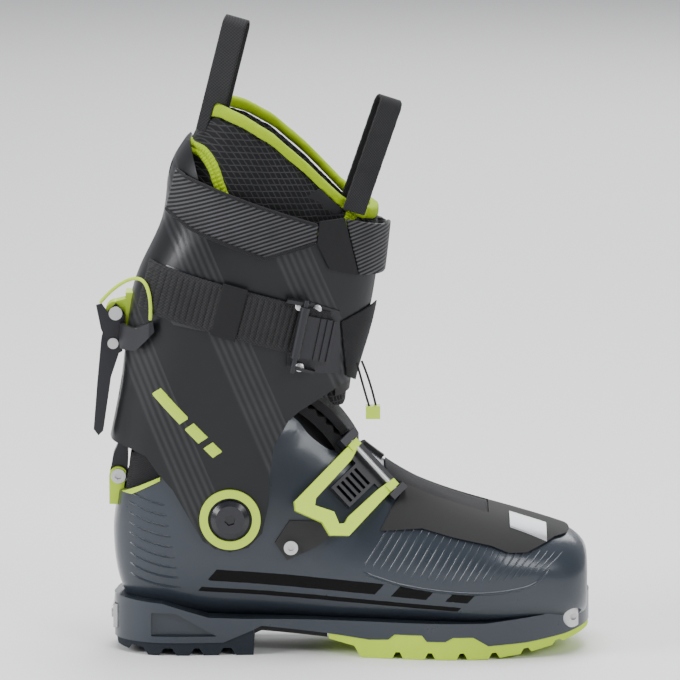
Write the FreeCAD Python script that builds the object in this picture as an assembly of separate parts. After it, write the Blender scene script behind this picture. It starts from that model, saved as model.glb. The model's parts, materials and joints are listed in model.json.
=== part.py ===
"""Ski touring boot for the right foot, as an assembly of separate closed solids.

Frame: millimetres, +X towards the toe, +Y towards the inner side of the foot, +Z up.
The origin lies on the ground, under the middle of the boot's bounding box.
The outer (lateral) side of the boot, which carries the buckles, is the -Y side.
"""
import FreeCAD
import Part
import math
import os

V = FreeCAD.Vector

# ---------------------------------------------------------------- driving sizes
SHELL_WALL = 3.0          # lower shell
CUFF_WALL = 2.6           # cuff
CUFF_GAP = 0.9            # lower shell to cuff, each side
LINER_GAP = 0.8           # liner to the shells around it
LINER_WALL = 6.5          # foam of the inner boot
BOARD_THICK = 4.0         # boot board under the footbed
FOOTBED_THICK = 3.0
ANKLE_HALF = 37.0         # half width of the lower shell at the ankle
BALL_HALF = 54.0          # half width of the lower shell at the ball of the foot
SOLE_BALL_HALF = 49.0     # half width of the sole at the ball
SOLE_HEEL_HALF = 35.5     # half width of the sole at the heel
HEEL_X = -142.0           # rear end of the sole
TOE_X = 155.5             # front end of the sole
PIVOT = V(-69.4, 0, 88)   # ankle axis, along Y
BOSS_R = 21.0             # round foot of the cuff around the pivot
PIVOT_BOLT_R = 8.0        # ankle bolt shank
RUNNING = 0.05            # radial clearance of turning fits
SLIP = 0.4                # clearance between parts that pass each other
FOOT_R = 79.0             # the liner is split on a cylinder of this radius about the ankle axis
GAITER_IN_R = 85.5        # textile gaiter behind the front of the cuff
GAITER_OUT_R = 91.0
GAITER_HALF = 24.0
CUFF_LINER_R = 93.5       # inner radius of the upper half of the liner
STRAP_THICK = 2.2         # webbing and power strap
CORD_D = 2.2              # tension cord
STRING_D = 1.4            # thin pull cord of the front flap
LUG_GROOVE = 6.5          # depth of the grooves between the lugs
INSERT_R = 6.5            # toe inserts that the binding grips
INSERT_HOLE_R = 2.2
INSERT_LENGTH = 6.0
INSERT_MID = {-1: 25.9, 1: 29.0}   # middle of each insert, outer and inner side
ARM_LIFT = 0.9             # thickness of the anchor's side arms on the shell
INSERT_X = 145.0
INSERT_Z = 23.0
PIN_R = 1.5               # small hinge pins of the buckles
LEVER_PIVOT = V(-140.8, 0, 213)
LEVER_HALF = 9.0          # half width of the walk lever
BAR_PIVOT = V(-139.7, 0, 109.5)
BAR_HALF = 7.0            # half width of the lean lock bar
SHIN_OPEN_HALF = 20.0     # front opening of the cuff
SHIN_HALF = 28.0          # plate behind that opening
SHIN_THICK = 2.4
BINDING = 8.0             # height of the liner's edge binding
TONGUE_HALF = 25.0
LINER_DEPTH = CUFF_WALL + SLIP + SHIN_THICK + 0.5
LINER_REAR_SHIFT = [13, 13, 14, 15, 9, 1, 0, 0, 0]   # room for the lean bar, per cuff section

os.makedirs("parts", exist_ok=True)


# ---------------------------------------------------------------- helpers
def save(name, shape):
    """Writes the solids of a shape as one node and prints its volume."""
    solids = shape.Solids
    if len(solids) == 1:
        out = solids[0]
    else:
        out = Part.makeCompound(solids)
    if not solids or not out.isValid():
        raise RuntimeError(f"{name} has no valid solid")
    out.exportStep(f"parts/{name}.step")
    print(f"{name:24s} {len(solids)} solid(s) {out.Volume / 1000:8.2f} cm3")
    return out


def one(shape):
    """The largest solid of a cut, so that no crumb is left beside it."""
    return max(shape.Solids, key=lambda s: s.Volume)


def oval(a, b, half, y_mid=0.0, power=2.5, count=24):
    """Closed smooth wire in the plane of Y and the line a-b, given as (x, z) pairs.

    It is a super-ellipse: its long axis runs from a to b, half is its half width along Y.
    """
    points = []
    for i in range(count):
        t = 2 * math.pi * i / count
        c, s = math.cos(t), math.sin(t)
        along = 0.5 - 0.5 * math.copysign(abs(c) ** (2 / power), c)
        across = half * math.copysign(abs(s) ** (2 / power), s)
        points.append(V(a[0] + (b[0] - a[0]) * along, y_mid + across, a[1] + (b[1] - a[1]) * along))
    curve = Part.BSplineCurve()
    curve.interpolate(Points=points, PeriodicFlag=True)
    return Part.Wire([curve.toShape()])


def shrunk(section, by, toe_shift=0.0):
    """The section (a, b, half, y_mid) moved inwards by a wall."""
    a, b, half, y_mid = section
    length = math.hypot(b[0] - a[0], b[1] - a[1])
    ux, uz = (b[0] - a[0]) / length, (b[1] - a[1]) / length
    a2 = (a[0] + ux * by - toe_shift, a[1] + uz * by)
    b2 = (b[0] - ux * by - toe_shift, b[1] - uz * by)
    return a2, b2, half - by, y_mid


def lofted(sections, overrun=0.0):
    """Solid through a list of (a, b, half, y_mid) sections, its two ends moved apart in Z by an overrun."""
    run = list(sections)
    for end, dz in ((0, -overrun), (-1, overrun)):
        a, b, half, y_mid = run[end]
        run[end] = ((a[0], a[1] + dz), (b[0], b[1] + dz), half, y_mid)
    return Part.makeLoft([oval(*section) for section in run], True, False, False, 3)


def slab(points, y0, y1):
    """A closed outline of (x, z) points, extruded from y0 to y1."""
    wire = Part.makePolygon([V(x, y0, z) for x, z in points] + [V(points[0][0], y0, points[0][1])])
    return Part.Face(wire).extrude(V(0, y1 - y0, 0))


def rod(centre, axis, radius, length):
    """Cylinder centred at a point."""
    axis = V(axis).normalize()
    return Part.makeCylinder(radius, length, centre - axis * (length / 2), axis)


class Place:
    """A local frame: u and v lie in the plate, n points out of it."""

    def __init__(self, origin, u, v_hint):
        self.o = V(origin)
        self.u = V(u).normalize()
        v = V(v_hint) - self.u * V(v_hint).dot(self.u)
        self.v = v.normalize()
        self.n = self.v.cross(self.u)

    def at(self, u, v, n=0.0):
        return self.o + self.u * u + self.v * v + self.n * n

    def plate(self, outline, n0, n1):
        """Outline of (u, v) points extruded from n0 to n1."""
        points = [self.at(u, v, n0) for u, v in outline]
        return Part.Face(Part.makePolygon(points + [points[0]])).extrude(self.n * (n1 - n0))

    def box(self, u0, u1, v0, v1, n0, n1):
        return self.plate([(u0, v0), (u1, v0), (u1, v1), (u0, v1)], n0, n1)

    def pin(self, u, v0, v1, n, radius):
        """A round pin along v."""
        return Part.makeCylinder(radius, v1 - v0, self.at(u, v0, n), self.v)

    def stud(self, u, v, n0, n1, radius):
        """A round post along n."""
        return Part.makeCylinder(radius, n1 - n0, self.at(u, v, n0), self.n)


# Axes and frames that more than one part uses.
LATCH_AXIS_AT = V(-26, -53.2, 205.5)
LATCH_AXIS = V(0.2, -0.07, 0.97).normalize()
YOKE_RIVET = V(-142.5, 0, 194)
PIN_LIFT = 5.9
BUCKLE = Place(V(-7, -43.5, 88), V(0.684, 0.417, 0.598), V(0.676, -0.055, -0.735))
# Route of each free cord: control points and diameter.
CORDS = {
    "pull_cord_1": [V(9.5, -36.5, 186), V(13.0, -33.5, 172), V(17.5, -28.5, 156)],
    "pull_cord_2": [V(12.5, -35.5, 187), V(18.5, -31.5, 172), V(21.5, -25.5, 156)],
}


def tube_along(points, diameter):
    """Round tube on straight runs joined by tangent arcs of 0.45 of the shorter run."""
    edges = []
    last = points[0]
    for before, here, after in zip(points, points[1:], points[2:]):
        d0, d1 = here - before, after - here
        turn = d0.getAngle(d1)
        reach = 0.45 * min(d0.Length, d1.Length)
        p0 = here - d0.normalize() * reach
        p1 = here + d1.normalize() * reach
        print(f"   cord radius {reach / math.tan(turn / 2):7.1f} mm at a turn of {math.degrees(turn):.0f}")
        inward = (p0 + p1) * 0.5 - here
        radius = reach / math.tan(turn / 2)
        centre = here + inward.normalize() * (radius / math.cos(turn / 2))
        middle = centre - inward.normalize() * radius
        edges.append(Part.LineSegment(last, p0).toShape())
        edges.append(Part.Arc(p0, middle, p1).toShape())
        last = p1
    edges.append(Part.LineSegment(last, points[-1]).toShape())
    path = Part.Wire(edges)
    start = Part.Wire([Part.Circle(points[0], points[1] - points[0], diameter / 2).toShape()])
    tube = path.makePipeShell([start], True, True)
    ideal = math.pi * diameter ** 2 / 4 * path.Length
    print(f"   tube {path.Length:.1f} mm long, volume {tube.Volume:.1f} against {ideal:.1f}")
    return tube


# ---------------------------------------------------------------- shapes that several parts share
# Each section is (lower or rear point, upper or front point, half width, centre in Y).
SHELL_SECTIONS = [
    ((153.6, 25), (153.6, 56), 22, 5),
    ((150.5, 20), (150.5, 66), 34, 5),
    ((141, 17), (141, 73), 43, 4),
    ((110, 15), (116, 81), BALL_HALF - 2, 2),
    ((70, 14), (86, 90), BALL_HALF, 0),
    ((30, 15), (60, 99), BALL_HALF - 5, 0),
    ((-10, 17), (40, 109), 43, 0),
    ((-50, 19), (22, 121), ANKLE_HALF + 1, 0),
    ((-90, 19), (7, 133), ANKLE_HALF, 0),
    ((-124, 24), (-5, 143), ANKLE_HALF, 0),
    ((-141, 50), (-13, 150), ANKLE_HALF, 0),
    ((-143, 75), (-18, 154), ANKLE_HALF, 0),
    ((-140, 100), (-22, 158), ANKLE_HALF, 0),
]
TOE_FLOOR_RISE = [6.0, 9.0, 11.0, 6.0, 2.0]
THROAT_BEYOND = ((-136, 122), (-30, 176), ANKLE_HALF, 0)
CUFF_HALF = ANKLE_HALF + CUFF_GAP + CUFF_WALL
CUFF_SECTIONS = [
    ((-150, 50), (18, 64), CUFF_HALF + 1.0, 0),
    ((-149, 95), (22, 116), CUFF_HALF + 1.3, 0),
    ((-144, 137), (8, 165), CUFF_HALF + 2.9, 0),
    ((-134.5, 200), (22, 222), CUFF_HALF + 6.5, 0),
    ((-126, 240), (27, 258), CUFF_HALF + 9, 0),
    ((-114.5, 264), (29, 277), CUFF_HALF + 10, 0),
    ((-109, 290), (32, 299), CUFF_HALF + 10.5, 0),
    ((-102, 314), (36, 322), CUFF_HALF + 10.5, 0),
    ((-88, 356), (43, 362), CUFF_HALF + 10.5, 0),
]
CUFF_OUTLINE = [
    (-94, 323), (-108, 316), (-114, 304), (-121, 270), (-134, 243), (-142, 203), (-151, 139),
    (-146, 134), (-132.5, 131), (-122, 127), (-114, 116), (-105, 106), (-92, 83), (-86.4, 74), (-78.8, 69),
    (PIVOT.x, PIVOT.z - BOSS_R), (-58, 70), (-49.5, 79), (-45.5, 97), (-44.4, 117), (-42, 134), (-33, 150),
    (-26, 156), (-5, 168), (20, 180), (45, 190), (45, 250), (20, 257), (-13, 267), (-57, 279), (-84, 288),
    (-88, 300),
]
# Top edge of the inner boot, from the heel side forwards, closed far below.
RIM_OUTLINE = [
    (-104, 318), (-92, 333), (-83, 345), (-76, 347), (-60, 341), (-43, 331), (-22, 313), (0, 291), (12, 283),
    (30, 279), (60, 279), (60, 60), (-170, 60), (-170, 318),
]


def lower_shell_solids():
    """Outer and inner volumes of the clog."""
    return lofted(SHELL_SECTIONS), lofted_inner(SHELL_WALL)


def lofted_inner(depth, overrun=0.0):
    """The clog's inside, at a depth under its outer skin; its floor rises over the toe inserts."""
    sections = []
    for i, section in enumerate(SHELL_SECTIONS):
        (ax, az), b, half, y_mid = shrunk(section, depth, depth if i < 3 else 0.0)
        rise = TOE_FLOOR_RISE[i] if i < len(TOE_FLOOR_RISE) else 0.0
        sections.append(((ax, az + rise), b, half, y_mid))
    sections.append(shrunk(THROAT_BEYOND, depth))
    return lofted(sections, overrun)


def footprint(grow=0.0, z0=0.0, z1=50.0):
    """The sole's outline seen from above, as a solid between two heights."""
    h, b = SOLE_HEEL_HALF + grow, SOLE_BALL_HALF + grow
    back, front = HEEL_X - grow, TOE_X + grow
    pts = [(back, 0), (back + 4, -20), (back + 20, -h + 2.5), (back + 52, -h), (-50, -h + 2), (-8, -h - 1),
           (30, -b + 5), (65, -b), (100, -b + 3), (128, -b + 11), (front - 8, -23), (front, 3),
           (front - 7, 26), (128, b - 8), (102, b - 2), (65, b), (30, b - 6), (-8, h - 1),
           (-50, h - 2), (back + 52, h), (back + 20, h - 2.5), (back + 4, 20)]
    curve = Part.BSplineCurve()
    curve.interpolate(Points=[V(x, y, z0) for x, y in pts], PeriodicFlag=True)
    return Part.Face(Part.Wire([curve.toShape()])).extrude(V(0, 0, z1 - z0))


# Underside of the moulded shell, from heel to toe, which the rubber soles meet.
SHELL_UNDERSIDE = [
    (HEEL_X - 8, 8), (-74, 8), (-55, 16), (-50, 18.6), (-8, 14.5), (17, 11.5), (29, 12), (33, 15.4), (50, 15.4),
    (53, 11.5), (64.6, 11.5), (69.4, 14.2), (82, 14.2), (91.5, 8.5), (115, 10), (140, 13.5), (TOE_X + 8, 19),
]
SHELL_LEDGE_TOP = [
    (TOE_X + 8, 37), (142, 34), (126, 27), (90, 23), (-60, 23), (-83, 24), (-112, 33), (HEEL_X - 8, 36),
]


def rocker(x):
    """Height of the tread above the ground: flat from the heel to the ball, then rising to the toe."""
    start = 84.0
    return 0.0 if x <= start else 14.0 * ((x - start) / (TOE_X - start)) ** 1.7


# ---------------------------------------------------------------- lower boot
def build_lower(outer, inner):
    platform = slab(SHELL_UNDERSIDE + SHELL_LEDGE_TOP, -80, 80).common(footprint(0, 0, 60))
    shell = outer.fuse(platform).cut(inner)
    # The heel spoiler of the shell is trimmed flat under the arch and along the tread.
    below = slab(SHELL_UNDERSIDE + [(TOE_X + 8, -20), (HEEL_X - 8, -20)], -80, 80)
    shell = shell.cut(below)
    # Pockets: toe inserts, heel insert, side recesses.
    for side in (-1, 1):
        pocket_y = side * (INSERT_MID[side] - INSERT_LENGTH / 2 + 10)
        shell = shell.cut(rod(V(INSERT_X, pocket_y, INSERT_Z), V(0, 1, 0), INSERT_R, 20))
        recess = slab([(-119, 12), (-119, 27), (-104, 27), (-78, 12)], side * 31.5, side * 45)
        shell = shell.cut(recess)
    # The heel insert sits in a shallow pocket on the rear face.
    shell = shell.cut(Part.makeBox(9, 30, 16, V(HEEL_X - 4, -15, 13)))
    # Bolt holes of the ankle pivots.
    for side in (-1, 1):
        shell = shell.cut(rod(V(PIVOT.x, side * ANKLE_HALF, PIVOT.z), V(0, 1, 0), PIVOT_BOLT_R - 2.0, 14))
    # Throat in front of the ankle, closed by the gaiter.
    throat = [(-40, 180), (-28, 142), (-8, 129), (6, 125), (12, 134), (10, 180)]
    SKIN["throat"] = slab(throat, -GAITER_HALF - SLIP, GAITER_HALF + SLIP)
    SKIN["lower_shell"] = save("lower_shell", one(shell.cut(SKIN["throat"])))

    # Heel tread with lugs.
    profile = [(HEEL_X + 1, 8), (-74, 8), (-55, 16), (-55, 0), (-66, 0), (-69, LUG_GROOVE - 2), (-74, LUG_GROOVE - 2),
               (-77, 0), (-86, 0), (-89, LUG_GROOVE - 2), (-92, LUG_GROOVE - 2), (-95, 0), (-103, 0),
               (-106, LUG_GROOVE - 2), (-111, LUG_GROOVE - 2), (-114, 0), (-121, 0), (-124, LUG_GROOVE - 2),
               (-131, LUG_GROOVE - 1), (-133, 2.5), (HEEL_X + 2, 4)]
    tread = slab(profile, -80, 80).common(footprint(-0.6, -1, 30))
    waffle = Part.makeBox(90, 16, LUG_GROOVE - 2, V(HEEL_X + 14, -8, -1))
    save("heel_sole", one(tread.cut(waffle)))

    # Arch pad between the two treads.
    arch = slab([(-54.5, 15.9), (-50, 18.2), (-9, 14.2), (-9, 11.6), (-50, 15.2), (-54.5, 13.2)], -80, 80)
    save("arch_pad", arch.common(footprint(-3, 0, 30)))

    # Forefoot tread: its top follows the shell, its lugs follow the rocker.
    top = [p for p in SHELL_UNDERSIDE if -9 < p[0] < TOE_X] + [(TOE_X + 6, underside(TOE_X + 6))]
    lug, gap, taper = 13.0, 7.0, 2.2
    x = TOE_X - 4
    lugs = [(TOE_X + 6, rocker(TOE_X) + 1)]
    while x - lug > 22:
        lugs += [(x, rocker(x)), (x - lug, rocker(x - lug))]
        for edge in (x - lug - taper, x - lug - gap + taper):
            rise = min(4.2, 0.45 * (underside(edge) - rocker(edge)))
            lugs.append((edge, rocker(edge) + rise))
        x -= lug + gap
    lugs += [(x, rocker(x)), (12, 0.0), (8, 7.0), (-8, 11.2)]
    tread = slab(top + lugs, -80, 80).common(footprint(-0.4, -1, 40))
    channel = Part.makeBox(110, 15, 20, V(14, -7.5, -18 + 1.8))
    save("toe_sole", one(tread.cut(channel)))


def underside(x):
    """Height of the moulded shell's underside at x."""
    for (x0, z0), (x1, z1) in zip(SHELL_UNDERSIDE, SHELL_UNDERSIDE[1:]):
        if x0 <= x <= x1:
            return z0 + (z1 - z0) * (x - x0) / (x1 - x0)
    return SHELL_UNDERSIDE[-1][1]


def build_inner(inner):
    """Boot board, footbed and the foot part of the liner, nested in the clog."""
    floor = 23 + BOARD_THICK + LINER_GAP
    board_zone = slab([(-150, 23), (160, 20), (160, 20 + BOARD_THICK), (-150, 23 + BOARD_THICK)], -80, 80)
    save("boot_board", one(board_zone.common(lofted_inner(SHELL_WALL + LINER_GAP))))

    # The sock ends on a circle about the ankle axis, so that the upper liner can swing past it.
    rim = []
    for k in range(19):
        angle = math.radians(180 - 8.5 * k)
        rim.append((PIVOT.x + FOOT_R * math.cos(angle), PIVOT.z + FOOT_R * math.sin(angle)))
    rim += [(20, 118), (40, 116), (200, 116), (200, floor - 3), (-150, floor), (-150, 88)]
    sock = lofted_inner(SHELL_WALL + LINER_GAP).common(slab(rim, -80, 80))
    room = slab([(-150, floor + 4), (160, floor + 1), (160, 300), (-150, 300)], -80, 80)
    sock = one(sock.cut(lofted_inner(SHELL_WALL + LINER_GAP + LINER_WALL, 5.0).common(room)))
    notch = slab([(-150, 99), (-127.2, 101), (-127.2, 150), (-150, 150)], -BAR_HALF - 1.5, BAR_HALF + 1.5)
    save("liner_foot", one(sock.cut(notch)))

    bed_zone = slab([(-150, floor + 4.3), (160, floor + 1.3), (160, floor + 1.3 + FOOTBED_THICK),
                     (-150, floor + 4.3 + FOOTBED_THICK)], -80, 80)
    bed = bed_zone.common(lofted_inner(SHELL_WALL + LINER_GAP + LINER_WALL + 1.0))
    save("footbed", one(bed))


def build_fittings():
    """Steel inserts that a ski binding grips."""
    for side, name in ((-1, "toe_insert_outer"), (1, "toe_insert_inner")):
        mid = INSERT_MID[side]
        body = rod(V(INSERT_X, side * mid, INSERT_Z), V(0, 1, 0), INSERT_R, INSERT_LENGTH)
        skin = footprint(0.6, 0, 60)
        body = body.common(skin)
        hole = rod(V(INSERT_X, side * (mid - INSERT_LENGTH / 2 + 11), INSERT_Z), V(0, 1, 0), INSERT_HOLE_R, 20)
        save(name, one(body.cut(hole)))
    plate = Part.makeBox(4, 29, 15, V(HEEL_X - 1.2, -14.5, 13.5))
    for side in (-1, 1):
        plate = plate.cut(Part.makeBox(8, 4.4, 9, V(HEEL_X - 3, side * 8.2 - 2.2, 16.5)))
    plate = plate.cut(rod(V(HEEL_X, 0, 21), V(1, 0, 0), 2.3, 20))
    save("heel_insert", plate)
    screw = rod(V(HEEL_X + 0.4, 0, 21), V(1, 0, 0), 2.2, 3.6).fuse(rod(V(HEEL_X - 1.9, 0, 21), V(1, 0, 0), 3.8, 1.4))
    save("heel_insert_screw", one(screw.cut(hex_socket(V(HEEL_X - 2.6, 0, 21), V(1, 0, 0), 1.5, 1.6))))


def hex_socket(centre, axis, across, depth):
    """A six-sided key hole that starts at a point and runs along an axis."""
    axis = V(axis).normalize()
    side = axis.cross(V(0.3, 0.9, 0.31)).normalize()
    up = axis.cross(side)
    points = []
    for k in range(6):
        angle = math.radians(60 * k)
        points.append(centre + side * (across * math.cos(angle)) + up * (across * math.sin(angle)))
    return Part.Face(Part.makePolygon(points + [points[0]])).extrude(axis * depth)


# ---------------------------------------------------------------- skins
def cuff_loft(depth, overrun=0.0):
    """The cuff's outer skin moved inwards by a depth (outwards if negative)."""
    return lofted([shrunk(section, depth) for section in CUFF_SECTIONS], overrun)


def cuff_band(depth_out, depth_in, outline, y0=-90.0, y1=90.0):
    """A layer of the cuff's skin between two depths, inside an (x, z) outline."""
    zone = slab(outline, y0, y1)
    return cuff_loft(depth_out, 3.0).common(zone).cut(cuff_loft(depth_in, 6.0))


def shell_loft(depth):
    """The lower shell's outer skin moved outwards, without its blunt toe section."""
    return lofted([shrunk(section, depth) for section in SHELL_SECTIONS[1:]])


def shell_patch(lift, outline, y0=-90.0, y1=90.0):
    """A layer that lies on the lower shell's skin, inside an (x, z) outline."""
    return shell_loft(-lift).common(slab(outline, y0, y1)).cut(SKIN["shell"])


def liner_loft(depth, overrun=0.0):
    """The upper liner's outer skin; it stands further from the cuff at the rear."""
    sections = []
    for section, shift in zip(CUFF_SECTIONS, LINER_REAR_SHIFT):
        (ax, az), b, half, y_mid = shrunk(section, LINER_DEPTH)
        sections.append(shrunk(((ax + shift, az), b, half, y_mid), depth))
    return lofted(sections, overrun)


SKIN = {}


# ---------------------------------------------------------------- cuff
def build_cuff():
    SKIN["cuff"] = cuff_loft(0, 3.0)
    wall = SKIN["cuff"].common(slab(CUFF_OUTLINE, -90, 90)).cut(cuff_loft(CUFF_WALL, 6.0))
    # Front opening, closed by the shin plate behind it.
    wall = wall.cut(Part.makeBox(120, 2 * SHIN_OPEN_HALF, 200, V(-6, -SHIN_OPEN_HALF, 120)))
    for side in (-1, 1):
        wall = wall.cut(rod(V(PIVOT.x, side * 42, PIVOT.z), V(0, 1, 0), PIVOT_BOLT_R + RUNNING, 20))
    # Slots of the rear spoiler.
    for z in (287, 303):
        wall = wall.cut(Part.makeBox(30, 2 * 7.0, 9, V(-125, -7.0, z - 4.5)))
    # Window behind the walk lever.
    wall = wall.cut(Part.makeBox(30, 9, 14, V(-152, -4.5, 158)))
    save("cuff_shell", one(wall))
    outline = [(-4, 163), (12, 166), (40, 172), (60, 262), (10, 266), (-4, 240)]
    depth = CUFF_WALL + SLIP
    plate = one(cuff_band(depth, depth + SHIN_THICK, outline, -SHIN_HALF, SHIN_HALF))
    SKIN["shin"] = save("shin_plate", plate)


def build_liner():
    rim = slab(RIM_OUTLINE, -90, 90)
    layer = liner_loft(0).common(rim).cut(liner_loft(LINER_WALL, 6.0)).cut(SKIN["shin"])
    layer = layer.cut(rod(PIVOT, V(0, 1, 0), CUFF_LINER_R, 200))
    layer = one(layer.cut(slab([(-170, 40), (60, 40), (60, 128), (-170, 128)], -90, 90)))
    lowered = rim.copy()
    lowered.translate(V(0, 0, -BINDING))
    body = layer.common(lowered)
    edge = layer.cut(lowered)
    front = Part.makeBox(120, 2 * TONGUE_HALF, 260, V(-10, -TONGUE_HALF, 100))
    gap = Part.makeBox(120, 2 * (TONGUE_HALF + 0.5), 260, V(-10.5, -TONGUE_HALF - 0.5, 100))
    SKIN["liner"] = layer
    save("liner_cuff", one(body.cut(gap)))
    below = slab([(PIVOT.x, PIVOT.z), (PIVOT.x + 140, PIVOT.z), (PIVOT.x + 140, PIVOT.z + 133)], -90, 90)
    save("liner_tongue", one(body.common(front).cut(below)))
    save("rim_binding", one(edge.cut(gap)))
    save("tongue_binding", one(edge.common(front)))


def strap_loop(foot, up, across, gap, thick, width, height, leg):
    """A folded webbing loop: two legs a gap apart, joined by a half round at the top."""
    up = V(up).normalize()
    across = (V(across) - up * V(across).dot(up)).normalize()
    normal = up.cross(across)

    def at(n, h):
        return foot + normal * n + up * h - across * (width / 2)

    edges = []
    ends = []
    for radius in (gap / 2, gap / 2 + thick):
        top = height - gap / 2
        p0, p1, p2, p3 = at(radius, -leg), at(radius, top), at(-radius, top), at(-radius, -leg)
        edges += [Part.LineSegment(p0, p1).toShape(), Part.Arc(p1, at(0, top + radius), p2).toShape(),
                  Part.LineSegment(p2, p3).toShape()]
        ends.append((p0, p3))
    for k in (0, 1):
        edges.append(Part.LineSegment(ends[0][k], ends[1][k]).toShape())
    face = Part.Face(Part.Wire(Part.__sortEdges__(edges)))
    return face.extrude(across * width)


def build_loops():
    rear = strap_loop(V(-78.5, -19, 342), V(13, 0, 52), V(1, -0.25, 0), 9.0, 1.6, 15, 58, 14)
    save("rear_pull_loop", one(rear.cut(SKIN["liner"])))
    front = strap_loop(V(8, -36, 288), V(20, 4, 58), V(1, 0.35, 0), 8.0, 1.6, 15, 66, 7)
    save("front_pull_loop", one(front.cut(SKIN["liner"])))


def build_straps():
    """Straps and their plates, on the outer side of the cuff."""
    side = (-90, -4)
    guide = [(-116, 243), (-108, 248), (-82, 240), (-75, 232), (-74, 213), (-80, 207), (-104, 211), (-113, 221)]
    save("strap_guide", one(cuff_band(-1.6, 0, guide, *side)))
    web = [(-119, 250), (-6, 219), (-14, 189), (-127, 219.5)]
    save("strap_webbing", one(cuff_band(-1.6 - STRAP_THICK, -1.6, web, *side)))
    keeper = [(-73, 239), (-57.5, 234.5), (-66, 201.5), (-81.5, 206)]
    low = -1.6 - STRAP_THICK
    save("strap_keeper", one(cuff_band(low - 1.2, low, keeper, *side)))
    frame = [(-33, 229), (-19, 226), (-1, 219), (-1, 179), (-14, 180), (-34, 185)]
    plate = one(cuff_band(-1.6, 0, frame, *side))
    rails = []
    for rail in ([(-33, 229), (-19, 226), (-20, 224), (-34, 227)], [(-30, 184.5), (-17, 181), (-16.5, 182.5), (-30, 186.5)]):
        rails.append(one(cuff_band(-8.4, -1.2, rail, *side)))
    save("strap_buckle_frame", one(plate.fuse(rails[0]).fuse(rails[1]).cut(latch_pin(RUNNING))))


def latch_pin(grow=0.0):
    """Hinge pin of the strap latch."""
    return Part.makeCylinder(PIN_R + grow, 47, LATCH_AXIS_AT - LATCH_AXIS * 23.5, LATCH_AXIS)


def build_latch():
    low = -1.6 - STRAP_THICK - SLIP
    outline = [(-23.8, 218.7), (-3, 213.5), (-8, 187), (-30.4, 192.6)]
    plate = one(cuff_band(low - 2.0, low, outline, -90, -4))
    for k in range(3):
        x = -14 + 4 * k
        groove = [(x, 216.5 - k), (x + 1.6, 216 - k), (x - 4.4, 187.5 - k), (x - 6, 188 - k)]
        plate = plate.cut(slab(groove, -90, -4).cut(cuff_loft(low - 1.2, 6.0)))
    hinge = Part.makeCylinder(PIN_R + 1.4, 33, LATCH_AXIS_AT - LATCH_AXIS * 14, LATCH_AXIS)
    hinge = hinge.cut(cuff_loft(low, 6.0))
    save("strap_latch", one(plate.fuse(hinge).fuse(latch_pin())))


def build_collar():
    """Power strap round the top, flap in front of the shin and its pull cords."""
    side = [(-103, 306), (-57, 289), (-14, 275), (-15.5, 263), (-48, 254), (-93, 271), (-109, 281)]
    save("power_strap", one(cuff_band(-2.6, 0, side, -90, -3)))
    tab = [(-13.6, 277), (2, 278.5), (10.5, 241.5), (-7, 246), (-15.1, 263)]
    save("power_strap_tab", one(cuff_band(-3.0, 0, tab, -90, -3)))
    front = [(2.4, 278), (60, 262), (60, 236), (10.9, 241)]
    inner = [(-103, 306), (-57, 289), (-14, 275), (60, 262), (60, 236), (20, 240), (-30, 254), (-93, 271), (-109, 281)]
    low = cuff_loft(-2.6, 3.0)
    band = low.common(slab(front, -90, 0.5)).fuse(low.common(slab(inner, 0, 90)))
    save("power_strap_front", one(band.cut(cuff_loft(0, 6.0))))
    flap = [(-0.5, 212), (27, 224), (30, 214), (9, 171), (3, 176)]
    save("front_flap", one(cuff_band(-1.4, 0, flap, -90, -12)))


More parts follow.
